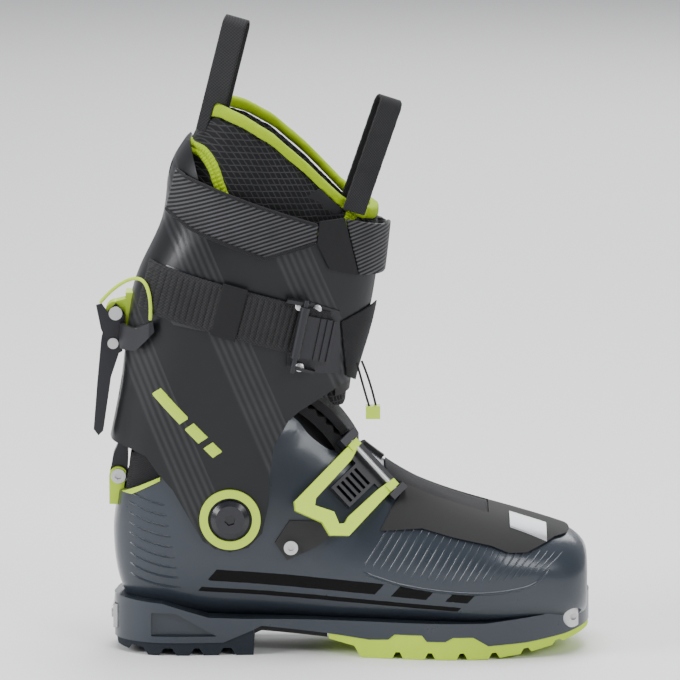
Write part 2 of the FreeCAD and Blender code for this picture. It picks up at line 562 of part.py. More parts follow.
def build_walk_lever():
    """Bracket, lever and yoke of the ski-walk switch behind the cuff."""
    c = LEVER_PIVOT
    bracket = slab([(c.x, c.z + 6.5), (-128, 223), (-128, 202), (c.x, c.z - 6.5)], -6, 6)
    bracket = bracket.fuse(rod(c, V(0, 1, 0), 6.5, 12)).fuse(Part.makeBox(12, 18, 26, V(-134.6, -9, 199.5)))
    bracket = bracket.cut(SKIN["cuff"]).cut(rod(c, V(0, 1, 0), 2.5, 60))
    save("spine_bracket", one(bracket))
    cheeks = slab([(c.x - 5.6, c.z), (c.x, c.z + 5.6), (c.x + 5.4, c.z), (-137.2, 196), (-139.3, 186), (-144, 172),
                   (-149, 138), (-152, 135), (-155, 139), (-152.5, 170), (-150, 196)], -LEVER_HALF, LEVER_HALF)
    cheeks = cheeks.cut(rod(c, V(0, 1, 0), 13.6, 2 * 6.05))
    cheeks = cheeks.cut(Part.makeBox(30, 12.1, 40, V(-160, -6.05, c.z - 6)))
    cheeks = cheeks.cut(rod(c, V(0, 1, 0), 2.5 + RUNNING, 60)).cut(rod(YOKE_RIVET, V(0, 1, 0), 2.0, 60))
    slots = slab([(-149, 188), (-142.5, 180), (-148, 150), (-150, 150)], -5.5, 5.5)
    save("lock_lever", one(cheeks.cut(slots)))
    y0, y1 = -LEVER_HALF - SLIP - 2.2, -LEVER_HALF - SLIP
    plate = slab([(-153, 218), (-149.5, 219), (-146, 214), (c.x + 5, 212), (-130, 205), (-129, 199), (-135, 190),
                  (-140, 187), (-144, 190), (-150, 203)], y0, y1)
    arm = cuff_band(-5.6, -2.6, [(-117, 213), (-116, 206), (-128, 193), (-138, 192), (-140, 207), (-128, 207)],
                    -40, y1)
    yoke = plate.fuse(arm).cut(cuff_loft(-2.4, 6.0))
    yoke = yoke.cut(rod(c, V(0, 1, 0), 2.5 + RUNNING, 60)).cut(rod(YOKE_RIVET, V(0, 1, 0), 2.0, 60))
    save("lever_yoke", one(yoke))
    rivet = rod(c, V(0, 1, 0), 2.5, 2 * 12.0)
    rivet = rivet.fuse(Part.makeCylinder(4.2, 1.6, V(c.x, y0 - SLIP / 4 - 1.6, c.z), V(0, 1, 0)))
    rivet = rivet.fuse(Part.makeCylinder(4.2, 1.6, V(c.x, LEVER_HALF + SLIP / 4, c.z), V(0, 1, 0)))
    save("lever_rivet", rivet.common(Part.makeBox(40, 40, 40, V(c.x - 20, y0 - SLIP / 4 - 1.6,  c.z - 20))))
    pin = Part.makeCylinder(2.0, LEVER_HALF - y0, V(YOKE_RIVET.x, y0, YOKE_RIVET.z), V(0, 1, 0))
    pin = pin.fuse(Part.makeCylinder(3.4, 1.4, V(YOKE_RIVET.x, y0 - 1.4, YOKE_RIVET.z), V(0, 1, 0)))
    save("yoke_rivet", pin)


def build_lean_lock():
    c = BAR_PIVOT
    arms = [(-150, 102), (-150, 117), (-126, 126), (-113, 119), (-113, 111), (-131, 101)]
    wrap = shell_patch(ARM_LIFT, arms)
    ears = rod(c, V(0, 1, 0), 5.7, 2 * (BAR_HALF + 3.0))
    foot = Part.makeBox(11.4, 2 * (BAR_HALF + 3.0), 18, V(c.x - 5.7, -BAR_HALF - 3.0, c.z - 18))
    ears = ears.fuse(foot).cut(rod(c, V(0, 1, 0), 11.5, 2 * (BAR_HALF + 0.05)))
    ears = ears.cut(SKIN["shell"]).cut(SKIN["clog_room"]).cut(rod(c, V(0, 1, 0), 2.5, 60))
    parts = wrap
    for ear in ears.Solids:
        parts = parts.fuse(ear)
    save("lean_lock_anchor", parts)
    bar = slab([(c.x - 5.5, c.z), (-143, 122), (-139, 131), (-135, 150), (-131.2, 186), (-127.2, 186), (-130.4, 150),
                (-133.6, 132), (-133.8, 118), (c.x + 5.4, c.z)], -BAR_HALF, BAR_HALF)
    bar = bar.fuse(rod(c, V(0, 1, 0), 5.5, 2 * BAR_HALF)).cut(rod(c, V(0, 1, 0), 2.5 + RUNNING, 60))
    save("lean_lock_bar", one(bar))
    half = BAR_HALF + 3.0
    pin = rod(c, V(0, 1, 0), 2.5, 2 * half)
    for side in (-1, 1):
        head = rod(V(c.x, side * (half + 0.8), c.z), V(0, 1, 0), 4.6, 1.6)
        pin = pin.fuse(head).cut(hex_socket(V(c.x, side * (half + 2), c.z), V(0, -side, 0), 2.2, 1.8))
    save("anchor_screw", pin)


def build_ankle():
    half = CUFF_HALF + 1.6
    bolts = []
    rings = []
    for side in (-1, 1):
        y = V(0, side, 0)
        top = V(PIVOT.x, side * half, PIVOT.z)
        shank = Part.makeCylinder(PIVOT_BOLT_R, half - ANKLE_HALF, V(PIVOT.x, side * ANKLE_HALF, PIVOT.z), y)
        stem = Part.makeCylinder(PIVOT_BOLT_R - 2, 2.4, V(PIVOT.x, side * (ANKLE_HALF - 2.4), PIVOT.z), y)
        cap = Part.makeCylinder(12.0, 1.0, top + y * 0.2, y).fuse(Part.makeCone(12.0, 9.0, 2.0, top + y * 1.2, y))
        neck = Part.makeCylinder(PIVOT_BOLT_R, 0.4, top, y)
        bolt = shank.fuse(stem).fuse(neck).fuse(cap)
        bolts.append(bolt.cut(hex_socket(top + y * 3.4, y * -1, 3.5, 2.2)).cut(SKIN["lower_shell"]))
        zone = rod(V(PIVOT.x, side * 45, PIVOT.z), V(0, 1, 0), 19.0, 30)
        zone = zone.cut(rod(V(PIVOT.x, side * 45, PIVOT.z), V(0, 1, 0), 13.8, 40))
        rings.append(one(cuff_loft(-2.2, 3.0).common(zone).cut(SKIN["cuff"])))
    save("pivot_bolts", Part.makeCompound(bolts))
    save("pivot_rings", Part.makeCompound(rings))


def build_instep():
    """Everything that lies over the instep: gaiter, shield, panel, badge and lace cable."""
    tube = rod(PIVOT, V(0, 1, 0), GAITER_OUT_R, 70).cut(rod(PIVOT, V(0, 1, 0), GAITER_IN_R, 80))
    sector = slab([(PIVOT.x, PIVOT.z), (PIVOT.x + 150, PIVOT.z + 78), (PIVOT.x + 60, PIVOT.z + 120)],
                  -GAITER_HALF, GAITER_HALF)
    gaiter = tube.common(sector).cut(SKIN["lower_shell"])
    gaiter = gaiter.cut(BUCKLE.box(36.5, 49.5, -32.6, 18.6, -12, 10))
    save("throat_gaiter", one(gaiter))
    panel_half = 21.0
    shield = [(24, 81), (31, 94), (40, 106), (46, 125), (70, 120), (150, 90), (150, 74), (133, 74), (115, 68),
              (104, 68.5), (93, 73), (69, 78), (50, 83)]
    cover = one(shell_patch(1.8, shield))
    panel = [(30, 90), (22, 130), (60, 130), (92, 110), (92, 70)]
    cover = cover.cut(slab(panel, -panel_half - 0.3, panel_half + 0.3)).cut(SKIN["throat"])
    cover = one(cover.cut(BUCKLE.box(-20, 49.6, -33, 18.6, -14, 14)))
    save("instep_shield", cover)
    inset = [(32, 90), (24.8, 130), (60, 130), (91.7, 110), (91.7, 70)]
    fabric = shell_patch(1.2, inset, -panel_half, panel_half).cut(SKIN["throat"])
    save("instep_fabric", one(fabric.cut(BUCKLE.box(-20, 49.6, -33, 18.6, -14, 14))))
    badge = [(105, 60), (105, 110), (128, 110), (128, 60)]
    layer = shell_loft(-2.8).common(slab(badge, -33, -9)).cut(shell_loft(-1.8))
    layer = layer.common(Part.makeBox(60, 60, 60, V(90, -60, 60)))
    save("toe_badge", one(layer))


def build_instep_buckle():
    p = BUCKLE
    outline = [(-32.5, 86.5), (-41.5, 72.5), (-34, 61.5), (-16, 70), (-7, 76.5), (-9, 86)]
    face = V(-31.5, -90, 71)
    hole = Part.makeCylinder(2.2, 60, face, V(0, 1, 0))
    base = one(shell_patch(2.2, outline, -90, 0))
    save("instep_base_plate", one(base.cut(hole)))
    top_y = base.common(Part.makeCylinder(3.0, 60, face, V(0, 1, 0))).BoundBox.YMin
    head = V(face.x, top_y, face.z)
    stud = Part.makeCylinder(4.4, 1.4, head, V(0, -1, 0)).fuse(Part.makeCylinder(2.2, 6, head, V(0, 1, 0)))
    stud = stud.cut(hex_socket(head + V(0, -2, 0), V(0, 1, 0), 2.0, 1.6)).cut(SKIN["shell"])
    save("instep_base_screw", one(stud))
    housing = p.box(37, 49, -32, 18, -10, 1.0)
    for v0, v1 in ((-32, -27), (13.5, 18)):
        housing = housing.fuse(p.box(37, 49, v0, v1, 0, 9.4))
    housing = housing.cut(SKIN["shell"]).cut(SKIN["throat"]).cut(p.pin(43, -60, 60, PIN_LIFT, PIN_R))
    save("ratchet_housing", one(housing))
    plate = p.box(14, 36.8, -14.5, 2.5, -8, 3.0).cut(SKIN["shell"])
    for k in range(5):
        plate = plate.cut(p.box(16.5 + 4 * k, 18.5 + 4 * k, -12.5, 0.5, -20, 20))
    save("ratchet_plate", one(plate))
    # The ladder crosses the instep to its anchor on the inner side; it is a strip between two parallel planes.
    lines = []
    for v in (-15.5, -1.0):
        start = p.at(0, v)
        lines.append((start.x, start.z))
    near = []
    for (x, z), reach in ((lines[0], 49), (lines[0], 90), (lines[1], 90), (lines[1], 49)):
        near.append((x + 0.735 * reach, z + 0.677 * reach))
    far = [lines[0], near[1], near[2], lines[1]]
    ladder = shell_loft(-2.4).common(slab(near, -90, 0.5).fuse(slab(far, 0, 90))).cut(SKIN["shell"])
    ladder = ladder.cut(p.box(30, 49.2, -40, 30, -14, 14))
    save("ladder_strap", one(ladder))
    anchor = [(lines[0][0] - 9, lines[0][1] - 3), (lines[0][0] + 2, lines[0][1] + 6), (lines[1][0] + 4, lines[1][1] + 2),
              (lines[1][0] + 1, lines[1][1] - 9)]
    plate = shell_patch(4.2, anchor, 0, 90).cut(ladder)
    save("ladder_anchor", one(plate))
    lever = p.plate([(44.5, -26), (-11, -24.5), (-14.5, -20), (-7, -3), (-9, 6), (0, 14.5), (29, 13.2), (45, 12.8),
                     (45, 8), (34, 6.5), (8, 5.7), (3.3, 7), (0.4, 4.8), (3.3, -2.8), (-3, -14), (0.6, -16.7),
                     (34.4, -18.4), (44.5, -21.5)], PIN_LIFT - 1.5, PIN_LIFT + 1.5)
    for v0, v1 in ((-26.4, -21.6), (8.1, 12.9)):
        lever = lever.fuse(p.box(39, 46.3, v0, v1, PIN_LIFT - 2.5, PIN_LIFT + 2.6))
    lever = lever.cut(p.pin(43, -60, 60, PIN_LIFT, PIN_R + RUNNING))
    save("instep_lever", one(lever))
    save("instep_lever_pin", p.pin(43, -31.5, 17.5, PIN_LIFT, PIN_R))


def build_cords():
    """Tension cord of the walk lever and the two hanging strings of the front flap."""
    cord = [V(-150.5, -11.5, 219.5), V(-142, -19, 231), V(-124.5, -33.1, 241), V(-117.5, -40.3, 228.5),
            V(-118.5, -40.3, 213.4)]
    save("tension_cord", tube_along(cord, CORD_D))
    toggle = Part.makeBox(9, 8, 8, V(15, -31, 149.5))
    for name, points in CORDS.items():
        toggle = toggle.cut(save(name, tube_along(points, STRING_D)))
    save("cord_toggle", one(toggle))


if __name__ == "__main__":
    outer, inner = lower_shell_solids()
    SKIN["shell"] = outer
    SKIN["clog_room"] = inner
    build_lower(outer, inner)
    build_inner(inner)
    build_fittings()
    build_cuff()
    build_liner()
    build_loops()
    build_straps()
    build_latch()
    build_collar()
    build_walk_lever()
    build_lean_lock()
    build_ankle()
    build_instep()
    build_instep_buckle()
    build_cords()
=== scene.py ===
"""Visual model of a right-foot ski touring boot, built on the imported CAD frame."""
import json
import logging
import math
from dataclasses import dataclass, field
from enum import Enum
from typing import Callable, Sequence

import bmesh
import bpy
import numpy as np
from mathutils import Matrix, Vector

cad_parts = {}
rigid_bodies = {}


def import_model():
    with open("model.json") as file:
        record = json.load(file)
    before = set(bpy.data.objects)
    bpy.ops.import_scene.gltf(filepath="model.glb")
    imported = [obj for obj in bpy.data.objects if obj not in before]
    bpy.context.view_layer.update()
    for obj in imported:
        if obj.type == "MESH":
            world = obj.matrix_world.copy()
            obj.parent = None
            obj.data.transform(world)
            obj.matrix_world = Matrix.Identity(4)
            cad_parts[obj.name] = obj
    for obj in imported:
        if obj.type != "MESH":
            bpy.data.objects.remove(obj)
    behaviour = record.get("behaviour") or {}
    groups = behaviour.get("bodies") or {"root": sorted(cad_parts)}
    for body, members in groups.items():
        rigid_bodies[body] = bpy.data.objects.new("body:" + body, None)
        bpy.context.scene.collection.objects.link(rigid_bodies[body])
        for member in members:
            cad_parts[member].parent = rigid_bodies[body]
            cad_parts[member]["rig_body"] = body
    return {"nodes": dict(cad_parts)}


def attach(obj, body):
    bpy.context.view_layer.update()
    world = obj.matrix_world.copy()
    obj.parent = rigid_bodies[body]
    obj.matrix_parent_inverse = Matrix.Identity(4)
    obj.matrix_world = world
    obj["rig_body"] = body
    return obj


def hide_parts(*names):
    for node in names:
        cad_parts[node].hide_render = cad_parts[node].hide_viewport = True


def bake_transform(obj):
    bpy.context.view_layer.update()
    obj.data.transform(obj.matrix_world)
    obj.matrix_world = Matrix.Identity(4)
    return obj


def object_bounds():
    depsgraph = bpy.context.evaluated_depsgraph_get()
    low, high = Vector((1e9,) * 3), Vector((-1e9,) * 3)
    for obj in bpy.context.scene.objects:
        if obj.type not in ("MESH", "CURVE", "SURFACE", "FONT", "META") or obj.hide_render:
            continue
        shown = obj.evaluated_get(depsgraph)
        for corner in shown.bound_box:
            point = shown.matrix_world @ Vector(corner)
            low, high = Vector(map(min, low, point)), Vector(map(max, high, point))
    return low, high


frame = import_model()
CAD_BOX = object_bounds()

logging.basicConfig(level=logging.INFO, format="%(message)s")
log = logging.getLogger("boot")

Grid = np.ndarray
MM = 0.001


class Pattern(Enum):
    """Surface structures that a finish can carry."""

    PLAIN = "plain"
    GRAIN = "grain"
    BRUSHED = "brushed"
    WEAVE = "weave"
    HEXES = "hexes"
    STRIPES = "stripes"
    RIB_U = "ribs across the length"
    BRAID = "braid"
    PANELS = "tone on tone diagonal panels"


@dataclass(frozen=True)
class Finish:
    """One finish: its colours, its gloss and the structure on its surface.

    Attributes:
        name: material name.
        colour: base colour, linear RGB.
        second: second colour of the pattern, linear RGB.
        roughness: mean roughness.
        metallic: metallic weight.
        pattern: structure of the surface.
        size: size of the pattern's repeat in metres, or in UV units on woven pieces.
        depth: bump distance in metres.
        coat: clear coat weight.
        sheen: sheen weight of fibres.
        wear: how far patches vary in tone, 0 to 1.
        on_uv: whether the pattern follows the piece's own UV map.
        specular: strength of the mirror-like share; cloth and rubber have little.
    """

    name: str
    colour: tuple[float, float, float]
    second: tuple[float, float, float] = (0.0, 0.0, 0.0)
    roughness: float = 0.5
    metallic: float = 0.0
    pattern: Pattern = Pattern.GRAIN
    size: float = 0.002
    depth: float = 0.0001
    coat: float = 0.0
    sheen: float = 0.0
    wear: float = 0.15
    on_uv: bool = False
    specular: float = 0.14

    def make(self) -> bpy.types.Material:
        """Builds the material once and returns it afterwards.

        Returns:
            The node material of this finish.
        """
        known = bpy.data.materials.get(self.name)
        if known:
            return known
        return MaterialMaker(self).build()


class MaterialMaker:
    """Turns a finish into a node tree."""

    def __init__(self, finish: Finish) -> None:
        """Starts an empty node tree.

        Args:
            finish: the finish to build.
        """
        self.finish = finish
        self.material = bpy.data.materials.new(finish.name)
        self.material.use_nodes = True
        self.tree = self.material.node_tree
        self.tree.nodes.clear()

    def node(self, kind: str, **settings: object) -> bpy.types.Node:
        """Adds a node and sets its properties.

        Args:
            kind: Blender's node type.
            **settings: properties of the node.

        Returns:
            The new node.
        """
        made = self.tree.nodes.new(kind)
        for key, value in settings.items():
            setattr(made, key, value)
        return made

    def link(self, value: object, socket: bpy.types.NodeSocket) -> None:
        """Links an output to a socket, or writes a plain value on it."""
        if isinstance(value, bpy.types.NodeSocket):
            self.tree.links.new(value, socket)
        else:
            socket.default_value = value

    def maths(self, operation: str, a: object, b: object = 0.0, c: object = 0.0) -> bpy.types.NodeSocket:
        """A Math node on up to three values."""
        made = self.node("ShaderNodeMath", operation=operation)
        for value, socket in zip((a, b, c), made.inputs):
            self.link(value, socket)
        return made.outputs[0]

    def blend(self, factor: object, a: object, b: object) -> bpy.types.NodeSocket:
        """A colour mix of a and b by a factor."""
        made = self.node("ShaderNodeMix", data_type="RGBA")
        self.link(factor, made.inputs[0])
        self.link(a, made.inputs[6])
        self.link(b, made.inputs[7])
        return made.outputs[2]

    def noise(self, where: bpy.types.NodeSocket, scale: float, detail: float = 3.0) -> bpy.types.NodeSocket:
        """Fractal noise between 0 and 1."""
        made = self.node("ShaderNodeTexNoise")
        self.link(where, made.inputs["Vector"])
        made.inputs["Scale"].default_value = scale
        made.inputs["Detail"].default_value = detail
        return made.outputs["Fac"]

    def wave(self, along: object, period: float) -> bpy.types.NodeSocket:
        """A sine of a coordinate, moved to the range 0 to 1."""
        turned = self.maths("SINE", self.maths("MULTIPLY", along, 2.0 * math.pi / period))
        return self.maths("MULTIPLY_ADD", turned, 0.5, 0.5)

    def step(self, value: object, low: float, high: float) -> bpy.types.NodeSocket:
        """A smooth step from 0 at low to 1 at high."""
        made = self.node("ShaderNodeMapRange", interpolation_type="SMOOTHSTEP")
        self.link(value, made.inputs["Value"])
        made.inputs["From Min"].default_value = low
        made.inputs["From Max"].default_value = high
        return made.outputs[0]

    def pattern(self, where: bpy.types.NodeSocket) -> tuple[object, object]:
        """The finish's pattern as (height, share of the second colour), each 0 to 1."""
        f = self.finish
        split = self.node("ShaderNodeSeparateXYZ")
        self.link(where, split.inputs[0])
        x, y, z = split.outputs
        if f.pattern is Pattern.PLAIN:
            return 0.5, 0.0
        if f.pattern is Pattern.GRAIN:
            return self.noise(where, 1.0 / f.size, 4.0), 0.0
        if f.pattern is Pattern.BRUSHED:
            stretched = self.node("ShaderNodeMapping")
            self.link(where, stretched.inputs["Vector"])
            stretched.inputs["Scale"].default_value = (0.08, 1.0, 1.0)
            return self.noise(stretched.outputs[0], 1.0 / f.size, 5.0), 0.0
        if f.pattern is Pattern.WEAVE:
            if f.on_uv:
                warp, weft = self.wave(x, f.size), self.wave(y, f.size)
            else:
                across = self.maths("ADD", x, self.maths("MULTIPLY", y, 0.6))
                warp, weft = self.wave(across, f.size), self.wave(z, f.size)
            crossed = self.maths("ADD", self.maths("MULTIPLY", warp, weft),
                                 self.maths("MULTIPLY", self.maths("SUBTRACT", 1.0, warp),
                                            self.maths("SUBTRACT", 1.0, weft)))
            return crossed, self.maths("MULTIPLY", crossed, 0.6)
        if f.pattern is Pattern.RIB_U:
            rib = self.wave(x, f.size)
            return rib, self.maths("MULTIPLY", rib, 0.5)
        if f.pattern is Pattern.BRAID:
            one = self.wave(self.maths("ADD", x, y), f.size)
            two = self.wave(self.maths("SUBTRACT", x, y), f.size)
            return self.maths("MAXIMUM", one, two), self.maths("MULTIPLY", self.maths("MULTIPLY", one, two), 0.5)
        if f.pattern is Pattern.STRIPES:
            slant = self.maths("SUBTRACT", z, self.maths("MULTIPLY", x, 0.32))
            band = self.step(self.wave(slant, f.size), 0.42, 0.66)
            return band, band
        if f.pattern is Pattern.PANELS:
            slant = self.maths("ADD", x, self.maths("MULTIPLY", z, 0.42))
            wide = self.step(self.wave(slant, f.size), 0.62, 0.68)
            fine = self.wave(slant, f.size / 14.0)
            lines = self.maths("MULTIPLY", wide, fine)
            return lines, self.maths("MULTIPLY", lines, 0.8)
        cells = self.node("ShaderNodeTexVoronoi", feature="DISTANCE_TO_EDGE", voronoi_dimensions="2D")
        flat = self.node("ShaderNodeCombineXYZ")
        skew = self.maths("MULTIPLY_ADD", z, 0.5, self.maths("MULTIPLY_ADD", y, 0.55, x))
        self.link(skew, flat.inputs[0])
        self.link(self.maths("MULTIPLY", z, 0.87), flat.inputs[1])
        self.link(flat.outputs[0], cells.inputs["Vector"])
        cells.inputs["Scale"].default_value = 1.0 / f.size
        cells.inputs["Randomness"].default_value = 0.08
        edge = self.step(cells.outputs["Distance"], 0.04, 0.16)
        return edge, self.maths("SUBTRACT", 1.0, edge)

    def build(self) -> bpy.types.Material:
        """Builds colour, gloss and bump, and joins them in one shader.

        Returns:
            The finished material.
        """
        f = self.finish
        out = self.node("ShaderNodeOutputMaterial")
        shader = self.node("ShaderNodeBsdfPrincipled")
        self.tree.links.new(shader.outputs[0], out.inputs[0])
        place = self.node("ShaderNodeTexCoord")
        solid = place.outputs["Object"]
        where = place.outputs["UV"] if f.on_uv else solid
        height, share = self.pattern(where)
        cloud = self.noise(solid, 55.0, 3.0)
        fine = self.noise(solid, 900.0, 2.0)
        base = self.blend(share, (*f.colour, 1.0), (*f.second, 1.0))
        dark = tuple(c * (1.0 - 0.45 * f.wear) for c in f.colour)
        worn = self.maths("MULTIPLY", self.step(cloud, 0.35, 0.75), f.wear * 2.0)
        toned = self.blend(self.maths("MINIMUM", worn, 0.6), base, (*dark, 1.0))
        self.link(toned, shader.inputs["Base Color"])
        rough = self.maths("MULTIPLY_ADD", cloud, 0.16, f.roughness - 0.1)
        rough = self.maths("MULTIPLY_ADD", fine, 0.06, rough)
        self.link(rough, shader.inputs["Roughness"])
        shader.inputs["Metallic"].default_value = f.metallic
        shader.inputs["Coat Weight"].default_value = f.coat
        shader.inputs["Specular IOR Level"].default_value = f.specular
        shader.inputs["Coat Roughness"].default_value = 0.12
        shader.inputs["Sheen Weight"].default_value = f.sheen
        shader.inputs["Sheen Roughness"].default_value = 0.4
        bump = self.node("ShaderNodeBump")
        bump.inputs["Strength"].default_value = 0.8
        bump.inputs["Distance"].default_value = f.depth
        total = self.maths("MULTIPLY_ADD", fine, 0.12, height)
        self.link(total, bump.inputs["Height"])
        self.tree.links.new(bump.outputs[0], shader.inputs["Normal"])
        return self.material


LIME = (0.30, 0.45, 0.004)
LIME_DEEP = (0.27, 0.37, 0.012)
SHELL_PLASTIC = Finish("shell_plastic", (0.026, 0.033, 0.044), roughness=0.30, metallic=0.2, size=0.0009,
                       depth=0.00005, coat=0.25, wear=0.1, specular=0.4)
CUFF_PLASTIC = Finish("cuff_plastic", (0.0125, 0.013, 0.0145), (0.034, 0.035, 0.038), 0.36, 0.1, Pattern.PANELS, 0.062,
                      0.00012, 0.06, wear=0.1, specular=0.25)
HEEL_RUBBER = Finish("heel_rubber", (0.018, 0.022, 0.029), roughness=0.66, size=0.0014, depth=0.00016)
BLACK_RUBBER = Finish("black_rubber", (0.010, 0.010, 0.011), (0.018, 0.018, 0.019), 0.62, 0.0, Pattern.HEXES, 0.0042,
                      0.00018)
PLAIN_RUBBER = Finish("plain_rubber", (0.016, 0.016, 0.017), roughness=0.58, size=0.0012, depth=0.0001)
LIME_RUBBER = Finish("lime_rubber", LIME, LIME_DEEP, 0.52, size=0.0016, depth=0.00012, wear=0.2)
BLACK_PLASTIC = Finish("black_plastic", (0.010, 0.010, 0.011), roughness=0.44, size=0.0009, depth=0.00007)
GLOSS_BLACK = Finish("gloss_black", (0.010, 0.010, 0.011), roughness=0.2, size=0.003, depth=0.00002, coat=0.6)
STEEL = Finish("steel", (0.52, 0.53, 0.55), roughness=0.3, metallic=1.0, pattern=Pattern.BRUSHED, size=0.0008,
               depth=0.00002)
BLACK_METAL = Finish("black_metal", (0.012, 0.0125, 0.014), roughness=0.36, metallic=0.7, pattern=Pattern.BRUSHED,
                     size=0.0009, depth=0.00003)
LIME_METAL = Finish("lime_metal", (0.30, 0.46, 0.005), LIME_DEEP, 0.34, 0.35, size=0.0012, depth=0.00003, coat=0.4)
LIME_PLASTIC = Finish("lime_plastic", (0.30, 0.45, 0.005), LIME_DEEP, 0.38, size=0.0012, depth=0.00004, coat=0.2)
BADGE = Finish("badge", (0.42, 0.43, 0.45), roughness=0.3, metallic=0.6, size=0.002, depth=0.00002, coat=0.4)
WEBBING = Finish("webbing", (0.020, 0.020, 0.021), (0.07, 0.07, 0.072), 0.78, 0.0, Pattern.WEAVE, 0.0016, 0.00022,
                 sheen=0.06, on_uv=True)
WEBBING_SOLID = Finish("webbing_solid", (0.016, 0.016, 0.017), (0.050, 0.050, 0.052), 0.78, 0.0, Pattern.WEAVE,
                       0.0019, 0.00022, sheen=0.06)
LINER_MESH = Finish("liner_mesh", (0.009, 0.009, 0.010), (0.036, 0.036, 0.038), 0.75, 0.0, Pattern.HEXES, 0.0034,
                    0.0006, sheen=0.05)
LINER_CLOTH = Finish("liner_cloth", (0.013, 0.013, 0.014), (0.034, 0.034, 0.036), 0.82, 0.0, Pattern.WEAVE, 0.0013,
                     0.0002, sheen=0.08)
STRAP_CLOTH = Finish("strap_cloth", (0.014, 0.014, 0.015), (0.078, 0.078, 0.083), 0.7, 0.0, Pattern.STRIPES, 0.0025,
                     0.00018, sheen=0.05)
LINER_SATIN = Finish("liner_satin", (0.016, 0.016, 0.018), roughness=0.42, size=0.001, depth=0.00004, sheen=0.1)
LIME_CLOTH = Finish("lime_cloth", LIME, LIME_DEEP, 0.8, 0.0, Pattern.WEAVE, 0.0012, 0.00018, sheen=0.06)
LIME_CORD = Finish("lime_cord", (0.36, 0.54, 0.006), LIME_DEEP, 0.7, 0.0, Pattern.BRAID, 0.0013, 0.0002, sheen=0.05)
BLACK_CORD = Finish("black_cord", (0.02, 0.02, 0.021), (0.06, 0.06, 0.06), 0.75, 0.0, Pattern.BRAID, 0.0011, 0.0001)
GREY_FELT = Finish("grey_felt", (0.11, 0.11, 0.115), roughness=0.9, size=0.0006, depth=0.0003, sheen=0.15)
STRIPE_BLACK = Finish("stripe_black", (0.002, 0.002, 0.002), roughness=0.6, size=0.002, depth=0.00002)


# ---------------------------------------------------------------- mesh tools
def finished(obj: bpy.types.Object, finish: Finish) -> None:
    """Gives a new piece its material."""
    obj.data.materials.clear()
    obj.data.materials.append(finish.make())


def mesh_piece(name: str, points: Grid, faces: Grid, uv: Grid | None, finish: Finish,
               body: str | None) -> bpy.types.Object:
    """Makes an object from arrays, dresses it and lets it ride on a body.

    Args:
        name: piece name.
        points: (n, 3) positions in metres.
        faces: (m, 4) vertex numbers, outward by the right-hand rule.
        uv: (n, 2) coordinates per point, or None.
        finish: its finish.
        body: the CAD body that it rides on, or None for a piece that rides on no body.

    Returns:
        The new object.
    """
    mesh = bpy.data.meshes.new(name)
    mesh.from_pydata(points.tolist(), [], faces.tolist())
    if uv is not None:
        layer = mesh.uv_layers.new(name="UVMap")
        corners = np.empty(len(mesh.loops), np.int32)
        mesh.loops.foreach_get("vertex_index", corners)
        layer.data.foreach_set("uv", uv[corners].astype(np.float32).ravel())
    mesh.polygons.foreach_set("use_smooth", np.ones(len(mesh.polygons), bool))
    mesh.validate()
    mesh.update()
    obj = bpy.data.objects.new(name, mesh)
    bpy.context.scene.collection.objects.link(obj)
    finished(obj, finish)
    if body:
        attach(obj, body)
    return obj


def grid_faces(rows: int, cols: int, wrap: bool = False, offset: int = 0, flip: bool = False) -> Grid:
    """Quads of a rows x cols grid of points; wrap also joins the last column to the first."""
    right = cols if wrap else cols - 1
    i, j = np.meshgrid(np.arange(rows - 1), np.arange(right), indexing="ij")
    k = (j + 1) % cols
    quads = np.stack([i * cols + j, i * cols + k, (i + 1) * cols + k, (i + 1) * cols + j], -1).reshape(-1, 4)
    quads = quads + offset
    return quads[:, ::-1] if flip else quads


def rim_faces(rows: int, cols: int) -> Grid:
    """Quads that join the four borders of a top grid to those of a bottom grid of the same size."""
    top = np.arange(rows * cols).reshape(rows, cols)
    loop = np.concatenate([top[0, :], top[1:, -1], top[-1, -2::-1], top[-2:0:-1, 0]])
    after = np.roll(loop, -1)
    low = rows * cols
    return np.stack([after, loop, loop + low, after + low], -1)


def normals_of(points: Grid) -> Grid:
    """Unit normals of a (rows, cols, 3) grid: the cross product of its two central differences."""
    du = np.gradient(points, axis=0)
    dv = np.gradient(points, axis=1)
    n = np.cross(dv, du)
    return n / np.maximum(np.linalg.norm(n, axis=-1, keepdims=True), 1e-12)


def snapped(points: Grid, node: str) -> Grid:
    """Moves a grid of points to the nearest place on a CAD node's surface.

    Args:
        points: (..., 3) positions that start just outside the surface.
        node: the CAD node.

    Returns:
        The positions on the surface, in the same layout.
    """
    flat = points.reshape(-1, 3)
    mesh = bpy.data.meshes.new("probe")
    mesh.from_pydata(flat.tolist(), [], [])
    probe = bpy.data.objects.new("probe", mesh)
    bpy.context.scene.collection.objects.link(probe)
    wrap = probe.modifiers.new("wrap", "SHRINKWRAP")
    wrap.target = frame["nodes"][node]
    wrap.wrap_method = "NEAREST_SURFACEPOINT"
    graph = bpy.context.evaluated_depsgraph_get()
    result = bpy.data.meshes.new_from_object(probe.evaluated_get(graph))
    found = np.empty(len(flat) * 3, np.float32)
    result.vertices.foreach_get("co", found)
    bpy.data.objects.remove(probe)
    bpy.data.meshes.remove(mesh)
    bpy.data.meshes.remove(result)
    return found.astype(float).reshape(points.shape)


